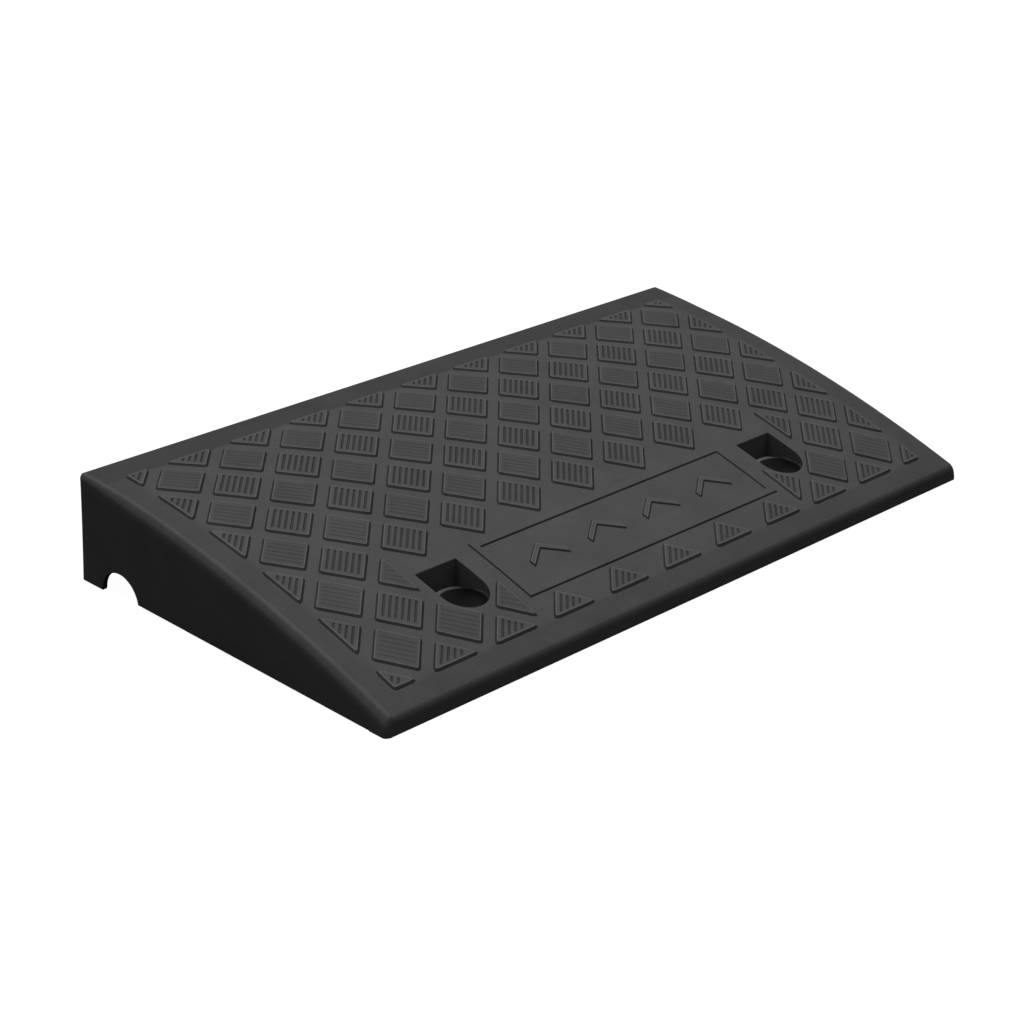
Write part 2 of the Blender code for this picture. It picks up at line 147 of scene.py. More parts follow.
@dataclass
class RampForm:
    """Sizes that several pieces share, in metres, and the places that follow from them.

    Attributes:
        bow: How far the middle of the deck stands above a straight slope.
        rim_depth: How far the rims at both ends of the deck reach down.
        bar_depth: How far the solid bar at the nose reaches back.
        bar_lug: Distance from that bar to the side walls.
        skirt_lift: How far lower edges would rise from the bar to the kerb, without the channel.
        foot_lean: How far both sides lean out from the deck to the ground.
        right_draw: How far the right side is drawn in at the deck.
        foot_wall: Thickness of the side walls at the ground.
        channel_radius: Height of the cable channel.
        channel_reach: Half the width of its arch in a side wall.
        tread_shift: How far the tread lies to the right of the middle.
        opening_shift: How far the pockets' openings lie to the right.
        opening_lip: Radius of the rounded lip of an opening.
    """

    length: float = 0.500
    depth: float = 0.267
    nose_height: float = 0.0107
    back_height: float = 0.0685
    bow: float = 0.0102
    skin: float = 0.004
    wall: float = 0.004
    rib: float = 0.003
    rim_depth: float = 0.009
    bar_depth: float = 0.012
    bar_lug: float = 0.001
    skirt_lift: float = 0.0027
    foot_lean: float = 0.0012
    right_draw: float = 0.0010
    foot_wall: float = 0.0032
    back_corner_radius: float = 0.0036
    heel_corner_radius: float = 0.0005
    channel_radius: float = 0.016
    channel_reach: float = 0.0172
    channel_from_back: float = 0.037
    pad_pitch: float = 0.0461
    row_spacing: float = 0.0232
    tread_from_nose: float = 0.0141
    tread_back_from_nose: float = 0.2460
    tread_half_length: float = 0.2305
    tread_shift: float = -0.0015
    bolt_x: float = 0.1395
    bolt_from_nose: float = 0.0592
    well_from_nose: float = 0.0606
    opening_x: float = 0.1387
    opening_shift: float = -0.0020
    opening_width: float = 0.0315
    opening_length: float = 0.0375
    opening_back_from_nose: float = 0.0801
    opening_lip: float = 0.0006

    def __post_init__(self) -> None:
        """Work out the places that follow: the kerb is at back, the nose at front."""
        self.half_length = self.length / 2
        self.foot_inner = self.half_length + self.foot_lean - self.foot_wall
        self.front = -self.depth / 2
        self.back = self.depth / 2
        self.bar_end = self.front + self.bar_depth
        self.wall_start = self.bar_end + self.bar_lug
        self.channel_y = self.back - self.channel_from_back
        self.tread_front = self.front + self.tread_from_nose
        self.tread_back = self.front + self.tread_back_from_nose
        self.bolt_y = self.front + self.bolt_from_nose
        self.well_y = self.front + self.well_from_nose
        self.opening_back = self.front + self.opening_back_from_nose
        self.opening_round_y = self.opening_back - self.opening_length + self.opening_width / 2

    def deck_height(self, y: float) -> float:
        """Height of the deck above the ground.

        Args:
            y: Where it is measured, between nose and kerb.

        Returns:
            The height, in metres.
        """
        share = (y - self.front) / self.depth
        chord = self.nose_height + (self.back_height - self.nose_height) * share
        return chord + 4 * self.bow * share * (1 - share)

    def skirt_height(self, y: float) -> float:
        """Height of the lower edges: they rise a little up to the channel, then stand.

        Args:
            y: Where it is measured, between nose and kerb.

        Returns:
            The height above the ground, in metres.
        """
        if y > self.channel_y:
            return 0.0
        return self.skirt_lift * max(0.0, y - self.bar_end) / (self.back - self.bar_end)

    def side_shift(self, side: Side, y: float, below: float) -> float:
        """How far the outer face of a side stands outside half the length.

        Args:
            side: The side.
            y: Where it is measured, between nose and kerb.
            below: Distance down from the deck there.

        Returns:
            The distance, in metres.
        """
        share = below / self.deck_height(y)
        draw = self.right_draw if side is Side.RIGHT else 0.0
        return self.foot_lean * share - draw * (1 - share)

    def back_corner_inset(self, y: float) -> float:
        """How far the rounded upright corners at the kerb fall inward."""
        return round_off(self.back - y, self.back_corner_radius)

    def heel_corner_inset(self, y: float) -> float:
        """How far the same corners fall inward at the ground, where they are sharper."""
        return round_off(self.back - y, self.heel_corner_radius)


def round_off(distance: float, radius: float) -> float:
    """How far a round edge falls back, at a distance from where it ends.

    Args:
        distance: Distance from the end, in metres.
        radius: Radius of the edge, in metres.

    Returns:
        The fall, which is the radius at the end and nothing from one radius inward.
    """
    if distance >= radius:
        return 0.0
    return radius - math.sqrt(max(0.0, radius**2 - (radius - distance) ** 2))


def quarter_round(radius: float, steps: int) -> list[tuple[float, float]]:
    """Points of a round edge between two faces at right angles.

    Args:
        radius: Radius of the edge, in metres.
        steps: Steps along it.

    Returns:
        Distance of each point from the face that it leaves, and from the face that it reaches.
    """
    turns = [math.pi / 2 * step / steps for step in range(steps + 1)]
    return [(radius * (1 - math.cos(turn)), radius * (1 - math.sin(turn))) for turn in turns]


def even_steps(start: float, end: float, widest: float) -> list[float]:
    """Places from start to end, both included, in equal steps.

    Args:
        start: First place.
        end: Last place.
        widest: Largest step allowed.

    Returns:
        The places in order.
    """
    count = max(1, math.ceil(abs(end - start) / widest))
    return [start + (end - start) * index / count for index in range(count + 1)]


def in_order(places: Iterable[float], start: float, end: float) -> list[float]:
    """Places between two ends, sorted, with near doubles dropped.

    Args:
        places: Places in any order.
        start: Lower end, which is kept.
        end: Upper end, which is kept.

    Returns:
        The places in rising order, from start to end.
    """
    closest = 0.00004
    kept = [start]
    for place in sorted(places):
        if kept[-1] + closest < place < end - closest:
            kept.append(place)
    return kept + [end]


def clipped(outline: Sequence[Vector], plane: HalfPlane) -> list[Vector]:
    """Part of a convex outline that lies in a half plane.

    Args:
        outline: Corners in plan, in order.
        plane: The half plane that is kept.

    Returns:
        The corners of what is left, or an empty list.
    """
    closest = 0.000001
    normal = Vector(plane.normal)
    kept: list[Vector] = []
    for index, corner in enumerate(outline):
        before = outline[index - 1]
        depth = plane.reach - normal.dot(corner)
        depth_before = plane.reach - normal.dot(before)
        if depth * depth_before < 0:
            kept.append(before.lerp(corner, depth_before / (depth_before - depth)))
        if depth >= 0:
            kept.append(corner)
    return [corner for index, corner in enumerate(kept) if (corner - kept[index - 1]).length > closest]


def inset(outline: Sequence[Vector], distance: float) -> list[Vector]:
    """Outline whose sides all lie a distance further in; its corners run anticlockwise.

    Args:
        outline: Corners in plan.
        distance: How far the sides move inward, in metres.

    Returns:
        As many corners as were given.
    """
    moved = []
    for index, corner in enumerate(outline):
        before = (corner - outline[index - 1]).normalized()
        after = (outline[(index + 1) % len(outline)] - corner).normalized()
        first = Vector((-before.y, before.x))
        second = Vector((-after.y, after.x))
        moved.append(corner + (first + second) * (distance / (1 + first.dot(second))))
    return moved


def with_round_corners(outline: Sequence[Vector], radius: float, steps: int) -> list[Vector]:
    """Outline with each corner replaced by a short curve.

    Args:
        outline: Corners in plan.
        radius: Radius of the curve, which shrinks where the sides are too short.
        steps: Number of straight steps in each curve.

    Returns:
        The points of the rounded outline.
    """
    longest_share = 0.45
    rounded = []
    for index, corner in enumerate(outline):
        to_before = outline[index - 1] - corner
        to_after = outline[(index + 1) % len(outline)] - corner
        half_angle = to_before.angle(to_after) / 2
        shortest = min(to_before.length, to_after.length)
        reach = min(radius / math.tan(half_angle), longest_share * shortest)
        start = corner + to_before.normalized() * reach
        end = corner + to_after.normalized() * reach
        for step in range(steps + 1):
            share = step / steps
            rounded.append(start.lerp(corner, share).lerp(corner.lerp(end, share), share))
    return rounded


def is_inside(point: Vector, outline: Sequence[Vector]) -> bool:
    """Whether a point lies inside an outline, by counting the sides that a ray crosses.

    Args:
        point: The point in plan.
        outline: Corners of the outline.

    Returns:
        True inside.
    """
    inside = False
    for index, corner in enumerate(outline):
        before = outline[index - 1]
        if (corner.y > point.y) != (before.y > point.y):
            share = (point.y - corner.y) / (before.y - corner.y)
            if point.x < corner.x + share * (before.x - corner.x):
                inside = not inside
    return inside


def bevel(width: float, turn_radius: float, steps: int) -> Profile:
    """Profile of an edge that is cut off at half a right angle, with both its corners rounded.

    Args:
        width: Width that is cut off, level and upright alike.
        turn_radius: Radius of the two corners.
        steps: Steps in each corner.

    Returns:
        How far each point lies inward and below the top, from the outer face up.
    """
    reach = width + turn_radius * math.tan(math.pi / 8)
    turns = [math.pi / 4 * step / steps for step in range(steps + 1)]
    lower = [
        (turn_radius * (1 - math.cos(turn)), reach - turn_radius * math.sin(turn)) for turn in turns
    ]
    return lower + [(fall, inward) for inward, fall in reversed(lower)]


def pocket_ring(form: RampForm, side: Side, grow: float) -> list[Vector]:
    """Outline of a bolt pocket's opening in plan: a D whose flat end lies towards the kerb.

    Args:
        form: Sizes of the ramp.
        side: End of the ramp that the pocket is at.
        grow: How far the outline lies outside the pocket's own, in metres.

    Returns:
        Points in order, as many for any growth.
    """
    round_steps, straight_steps = 48, 8
    x = side.value * form.opening_x + form.opening_shift
    half = form.opening_width / 2 + grow
    back = form.opening_back + grow
    middle = Vector((x, form.opening_round_y))
    turns = [math.pi + math.pi * step / round_steps for step in range(round_steps)]
    ring = [middle + Vector((math.cos(turn), math.sin(turn))) * half for turn in turns]
    corners = [
        Vector((x + half, middle.y)),
        Vector((x + half, back)),
        Vector((x - half, back)),
        Vector((x - half, middle.y)),
    ]
    for start, end in zip(corners, corners[1:]):
        ring += [start.lerp(end, step / straight_steps) for step in range(straight_steps)]
    return ring


class PieceMesh:
    """Closed mesh of a piece, built from rows of spots."""

    def __init__(self) -> None:
        """Start with an empty mesh."""
        self.work = bmesh.new()
        self.foot = self.work.verts.layers.float.new(FOOT)
        self.wear = self.work.verts.layers.float.new(PAINTED_LIGHT)

    def row(self, spots: Iterable[Spot]) -> Row:
        """Add a row of points.

        Args:
            spots: The points in order.

        Returns:
            The new vertices in the same order.
        """
        made = []
        for spot in spots:
            vert = self.work.verts.new((spot.x, spot.y, spot.z))
            vert[self.foot] = spot.foot
            vert[self.wear] = spot.wear
            made.append(vert)
        return made

    def bridge(self, first: Row, second: Row, closed: bool = False) -> None:
        """Join two rows of equal length by a strip of faces.

        Args:
            first: Vertices of one row.
            second: Vertices of the other row.
            closed: Whether the rows are rings.
        """
        for index in range(0 if closed else 1, len(first)):
            corners = (first[index - 1], first[index], second[index], second[index - 1])
            self.work.faces.new(corners)

    def sleeve(self, rings: Iterable[Iterable[Spot]]) -> list[Row]:
        """Add rings and join each to the next.

        Args:
            rings: Rings with the same number of spots.

        Returns:
            The vertices of each ring.
        """
        made = [self.row(ring) for ring in rings]
        for before, after in zip(made, made[1:]):
            self.bridge(before, after, closed=True)
        return made

    def cap(self, ring: Row) -> None:
        """Close a ring by one flat face."""
        self.work.faces.new(ring)

    def finish(self, name: str) -> Mesh:
        """Merge doubles, turn the faces outward and give the mesh.

        Args:
            name: Name of the mesh.

        Returns:
            The finished mesh.
        """
        double, sliver = 0.000002, 0.000001
        bmesh.ops.remove_doubles(self.work, verts=self.work.verts, dist=double)
        bmesh.ops.dissolve_degenerate(self.work, edges=self.work.edges, dist=sliver)
        bmesh.ops.recalc_face_normals(self.work, faces=self.work.faces)
        mesh = bpy.data.meshes.new(name)
        self.work.to_mesh(mesh)
        self.work.free()
        return mesh


def lofted(name: str, rings: Iterable[Iterable[Spot]], ends: bool) -> Mesh:
    """Closed mesh of rings that are joined one after the other.

    Args:
        name: Name of the mesh.
        rings: Rings with the same number of spots.
        ends: Whether the first and last rings are capped, or joined to each other.

    Returns:
        The finished mesh.
    """
    maker = PieceMesh()
    made = maker.sleeve(rings)
    if ends:
        maker.cap(made[0])
        maker.cap(made[-1])
    else:
        maker.bridge(made[-1], made[0], closed=True)
    return maker.finish(name)


class Nodes:
    """Adds nodes to a tree, with their inputs linked or set."""

    def __init__(self, tree: bpy.types.NodeTree) -> None:
        """Start with the tree that gets the nodes."""
        self.tree = tree

    def feed(self, node: bpy.types.Node, inputs: dict[str | int, object]) -> None:
        """Link or set inputs of a node.

        Args:
            node: The node.
            inputs: Socket to link or value to set, by the input's name or number.
        """
        for name, value in inputs.items():
            if isinstance(value, Socket):
                self.tree.links.new(value, node.inputs[name])
            else:
                node.inputs[name].default_value = value

    def add(
        self, kind: str, inputs: dict[str | int, object] | None = None, **settings: object
    ) -> bpy.types.Node:
        """Add a node.

        Args:
            kind: Type of the node.
            inputs: Socket to link or value to set, by the input's name or number.
            settings: Properties of the node.

        Returns:
            The new node.
        """
        node = self.tree.nodes.new(kind)
        for name, value in settings.items():
            setattr(node, name, value)
        self.feed(node, inputs or {})
        return node

    def maths(self, operation: str, *inputs: object) -> Socket:
        """Add a sum on numbers or sockets, and give the socket of its result."""
        return self.add("ShaderNodeMath", dict(enumerate(inputs)), operation=operation).outputs[0]


def empty_nodes(owner: Material | bpy.types.World) -> Nodes:
    """Switch a material or a world to nodes, with none in its tree.

    Args:
        owner: The material or the world.

    Returns:
        Its empty tree.
    """
    owner.use_nodes = True
    owner.node_tree.nodes.clear()
    return Nodes(owner.node_tree)


def grey(level: float) -> tuple[float, float, float, float]:
    """Colour without a tint."""
    return (level, level, level, 1.0)


class GeometryTree(Nodes):
    """Geometry Nodes tree that raises a flat piece onto the bowed line of the deck."""

    def __init__(self, name: str, repeats: bool) -> None:
        """Build the tree.

        Args:
            name: Name of the tree.
            repeats: Whether the piece is points, on which the tree puts shapes first.
        """
        super().__init__(bpy.data.node_groups.new(name, "GeometryNodeTree"))
        self.tree.is_modifier = True
        sizes = ("Front", "Depth", "Nose Height", "Back Height", "Bow")
        inputs = {"Geometry": "Geometry", **dict.fromkeys(sizes, "Float")}
        inputs |= {"Kinds": "Collection", "Plastic": "Material"}
        self.names: dict[str, str] = {}
        for label, kind in inputs.items():
            self.names[label] = self.new_socket(label, "INPUT", kind).identifier
        self.new_socket("Geometry", "OUTPUT", "Geometry")
        self.given = self.add("NodeGroupInput").outputs
        flat = self.given["Geometry"]
        self.raise_onto_deck(self.repeat_kinds(flat) if repeats else flat)

    def new_socket(self, label: str, way: str, kind: str) -> bpy.types.NodeTreeInterfaceSocket:
        """Add a named input or output to the tree."""
        kind = "NodeSocket" + kind
        return self.tree.interface.new_socket(name=label, in_out=way, socket_type=kind)

    def attribute(self, name: str, data_type: str) -> Socket:
        """Read a named attribute of the mesh."""
        node = self.add("GeometryNodeInputNamedAttribute", {"Name": name}, data_type=data_type)
        return node.outputs["Attribute"]

    def repeat_kinds(self, points: Socket) -> Socket:
        """Put on each point the member of Kinds that its attribute names.

        Args:
            points: Geometry with the points.

        Returns:
            The instances.
        """
        members = {
            "Collection": self.given["Kinds"],
            "Separate Children": True,
            "Reset Children": True,
        }
        kinds = self.add("GeometryNodeCollectionInfo", members, transform_space="ORIGINAL")
        scatter = {
            "Points": points,
            "Instance": kinds.outputs[0],
            "Pick Instance": True,
            "Instance Index": self.attribute(KIND, "INT"),
        }
        return self.add("GeometryNodeInstanceOnPoints", scatter).outputs[0]

    def raise_onto_deck(self, flat: Socket) -> None:
        """Lift every point that isn't a foot by the deck's height, and end the tree.

        Args:
            flat: Geometry that is still flat.
        """
        given = self.given
        realized = self.add("GeometryNodeRealizeInstances", {"Geometry": flat})
        position = self.add("GeometryNodeInputPosition").outputs[0]
        y = self.add("ShaderNodeSeparateXYZ", {"Vector": position}).outputs["Y"]
        share = self.maths("DIVIDE", self.maths("SUBTRACT", y, given["Front"]), given["Depth"])
        rise = self.maths("SUBTRACT", given["Back Height"], given["Nose Height"])
        chord = self.maths("ADD", given["Nose Height"], self.maths("MULTIPLY", rise, share))
        curve = self.maths("MULTIPLY", share, self.maths("SUBTRACT", 1.0, share))
        bow = self.maths("MULTIPLY", self.maths("MULTIPLY", 4.0, given["Bow"]), curve)
        height = self.maths("ADD", chord, bow)
        free = self.maths("SUBTRACT", 1.0, self.attribute(FOOT, "FLOAT"))
        lift = self.add("ShaderNodeCombineXYZ", {"Z": self.maths("MULTIPLY", height, free)})
        moves = {"Geometry": realized.outputs[0], "Offset": lift.outputs[0]}
        moved = self.add("GeometryNodeSetPosition", moves)
        paints = {"Geometry": moved.outputs[0], "Material": given["Plastic"]}
        painted = self.add("GeometryNodeSetMaterial", paints)
        self.add("NodeGroupOutput", {0: painted.outputs[0]})


@dataclass
class DeckLine:
    """Raises flat pieces onto the bowed line of the deck by Geometry Nodes."""

    form: RampForm
    single: GeometryTree = field(init=False)
    repeated: GeometryTree = field(init=False)

    def __post_init__(self) -> None:
        """Build the tree for single pieces and the one for repeated pieces."""
        self.single = GeometryTree("raise_onto_deck", repeats=False)
        self.repeated = GeometryTree("repeat_along_deck", repeats=True)

    def raise_piece(
        self, piece: Object, plastic: Material, kinds: bpy.types.Collection | None = None
    ) -> None:
        """Raise a piece and make it a plain mesh.

        Args:
            piece: The object, whose mesh is flat, or points where shapes repeat.
            plastic: Its material.
            kinds: The shapes that repeat, if any.
        """
        tree = self.single if kinds is None else self.repeated
        modifier = piece.modifiers.new(tree.tree.name, "NODES")
        modifier.node_group = tree.tree
        values = {
            "Front": self.form.front,
            "Depth": self.form.depth,
            "Nose Height": self.form.nose_height,
            "Back Height": self.form.back_height,
            "Bow": self.form.bow,
            "Kinds": kinds,
            "Plastic": plastic,
        }
        for name, value in values.items():
            modifier[tree.names[name]] = value
        settle(piece)

    def repeat_piece(self, piece: Object, shapes: Sequence[Mesh], plastic: Material) -> None:
        """Put shapes on the points of a piece, raise them and make them a plain mesh.

        Args:
            piece: Object whose points say where each shape goes, and which one.
            shapes: The shapes, in the order of the points' kind numbers.
            plastic: Material of all of them.
        """
        kinds = bpy.data.collections.new(piece.name + "_kinds")
        bpy.context.scene.collection.children.link(kinds)
        for number, shape in enumerate(shapes):
            kinds.objects.link(bpy.data.objects.new(f"{kinds.name}_{number:03d}", shape))
        self.raise_piece(piece, plastic, kinds)
        for helper in list(kinds.objects):
            bpy.data.objects.remove(helper)
        bpy.data.collections.remove(kinds)


def settle(piece: Object) -> None:
    """Turn a piece with its modifiers into one plain mesh with its faces outward.

    Args:
        piece: The object.
    """
    bpy.context.view_layer.update()
    depsgraph = bpy.context.evaluated_depsgraph_get()
    mesh = bpy.data.meshes.new_from_object(
        piece.evaluated_get(depsgraph), preserve_all_data_layers=True, depsgraph=depsgraph
    )
    work = bmesh.new()
    work.from_mesh(mesh)
    bmesh.ops.recalc_face_normals(work, faces=work.faces)
    work.to_mesh(mesh)
    work.free()
    piece.modifiers.clear()
    piece.data = mesh


def new_object(name: str, mesh: Mesh) -> Object:
    """Put a mesh in the scene.

    Args:
        name: Name of the object.
        mesh: The mesh.

    Returns:
        The new object.
    """
    made = bpy.data.objects.new(name, mesh)
    bpy.context.scene.collection.objects.link(made)
    return made


def points_mesh(name: str, places: Sequence[Place]) -> Mesh:
    """Loose points on the flat deck, each with a kind number.

    Args:
        name: Name of the mesh.
        places: Place and kind of each point.

    Returns:
        The mesh of points.
    """
    mesh = bpy.data.meshes.new(name)
    mesh.from_pydata([(place.x, place.y, 0.0) for place in places], [], [])
    kinds = mesh.attributes.new(KIND, "INT", "POINT")
    kinds.data.foreach_set("value", [place.kind for place in places])
    return mesh


@dataclass(frozen=True)
class MouldedPlastic:
    """Black moulded plastic with a fine grain, faint clouding, and highlights and shade painted in by
    a mesh attribute.

    Attributes:
        name: Name of the material.
        slot: Slot of the record that the finish belongs to; not used.
        colour: Linear base colour.
        roughness: Middle roughness.
        specular: Specular level, 0.5 for common plastic.
        grain: The fine grain of the mould.
        grain_depth: Height of the grain, in metres.
        clouds: Paler clouds.
        patches: Patches that shine more or less.
        clouding: Share by which the colour varies in clouds and the roughness in patches.
        specks: Small spots.
        speckling: Share by which the colour varies in spots.
        painted_light_share: Share by which one unit of painted light makes the colour paler; below 0,
            painted shade makes it darker.
    """

    name: str
    slot: str
    colour: tuple[float, float, float]
    roughness: float
    specular: float = 0.12
    grain: Pattern = Pattern(0.0009, 2.0)
    grain_depth: float = 0.00003
    clouds: Pattern = Pattern(0.030, 5.0)
    patches: Pattern = Pattern(0.010, 3.0)
    clouding: float = 0.08
    specks: Pattern = Pattern(0.0018, 2.0)
    speckling: float = 0.05
    painted_light_share: float = 0.35

    def noise(self, nodes: Nodes, pattern: Pattern) -> Socket:
        """Add a noise pattern on object coordinates.

        Args:
            nodes: Tree of the material.
            pattern: The pattern.

        Returns:
            The socket of the pattern, from 0 to 1.
        """
        place = nodes.add("ShaderNodeTexCoord").outputs["Object"]
        inputs = {"Vector": place, "Scale": 1 / pattern.size, "Detail": pattern.detail}
        return nodes.add("ShaderNodeTexNoise", inputs).outputs["Fac"]

    def varied(self, nodes: Nodes, pattern: Pattern, middle: float, swing: float) -> Socket:
        """Add a value that varies with a noise pattern.

        Args:
            nodes: Tree of the material.
            pattern: The pattern.
            middle: Middle of the value.
            swing: Share by which it varies either way.

        Returns:
            The socket of the value.
        """
        noise_low, noise_high = 0.3, 0.7
        stretch = {
            "Value": self.noise(nodes, pattern),
            "From Min": noise_low,
            "From Max": noise_high,
            "To Min": middle * (1 - swing),
            "To Max": middle * (1 + swing),
        }
        return nodes.add("ShaderNodeMapRange", stretch).outputs["Result"]

    def build(self) -> Material:
        """Build the material.

        Returns:
            The material with its nodes.
        """
        material = bpy.data.materials.new(self.name)
        material.use_nodes = True
        nodes = Nodes(material.node_tree)
        cloudy = self.varied(nodes, self.clouds, 1.0, self.clouding)
        speckled = self.varied(nodes, self.specks, 1.0, self.speckling)
        # A mesh attribute paints light into the colour: above 0 a painted highlight makes it paler,
        # below 0 painted shade makes it darker.
        wear = nodes.add("ShaderNodeAttribute", attribute_name=PAINTED_LIGHT).outputs["Fac"]
        with_painted_light = nodes.maths("MULTIPLY_ADD", wear, self.painted_light_share, cloudy)
        shades = {0: self.colour, "Scale": nodes.maths("MULTIPLY", with_painted_light, speckled)}
        tint = nodes.add("ShaderNodeVectorMath", shades, operation="SCALE")
        relief = {"Distance": self.grain_depth, "Height": self.noise(nodes, self.grain)}
        looks = {
            "Base Color": tint.outputs[0],
            "Roughness": self.varied(nodes, self.patches, self.roughness, self.clouding),
            "Specular IOR Level": self.specular,
            "Normal": nodes.add("ShaderNodeBump", relief).outputs["Normal"],
        }
        nodes.feed(material.node_tree.nodes["Principled BSDF"], looks)
        return material


@dataclass
class RampPiece:
    """One dressed piece of the ramp.

    Attributes:
        name: Name of the piece.
        nodes: CAD nodes that the piece stands for.
        finish: Plastic that it is made of.
        form: Sizes that the pieces share.
        smooth_turn: Sharpest turn that is shaded as round, in degrees.
    """

    name: str
    nodes: tuple[str, ...]
    finish: MouldedPlastic
    form: RampForm
    smooth_turn: float = field(default=40.0, kw_only=True)

    def mesh(self) -> Mesh:
        """Build the closed mesh of the piece, still flat."""
        raise NotImplementedError

    def shape(self, line: DeckLine, plastic: Material) -> Object:
        """Build the piece in place, as a plain mesh.

        Args:
            line: Raises flat pieces onto the deck.
            plastic: Material of the piece.

        Returns:
            The object.
        """
        piece = new_object(self.name, self.mesh())
        line.raise_piece(piece, plastic)
        return piece

    def build(self, line: DeckLine, plastics: dict[str, Material]) -> Object:
        """Build the piece, shade it, attach it to the root body and hide the CAD nodes that it stands
        for.

        Args:
            line: Raises flat pieces onto the deck.
            plastics: Finished materials by name.

        Returns:
            The finished object.
        """
        piece = self.shape(line, plastics[self.finish.name])
        piece.data.shade_smooth()
        piece.data.set_sharp_from_angle(angle=math.radians(self.smooth_turn))
        weighted = piece.modifiers.new("flat faces lead", "WEIGHTED_NORMAL")
        weighted.keep_sharp = True
        settle(piece)
        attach(piece, "root")
        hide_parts(*self.nodes)
        return piece


@dataclass
class RepeatedPiece(RampPiece):
    """Piece that is made of a few shapes, repeated over the deck."""

    def kit(self) -> tuple[list[Mesh], list[Place]]:
        """Build the shapes, and list the place and the shape's number of every one."""
        raise NotImplementedError

    def shape(self, line: DeckLine, plastic: Material) -> Object:
        """Build the shapes and repeat them in place, as a plain mesh.

        Args:
            line: Raises flat pieces onto the deck.
            plastic: Material of the piece.

        Returns:
            The object.
        """
        shapes, places = self.kit()
        piece = new_object(self.name, points_mesh(self.name, places))
        line.repeat_piece(piece, shapes, plastic)
        return piece


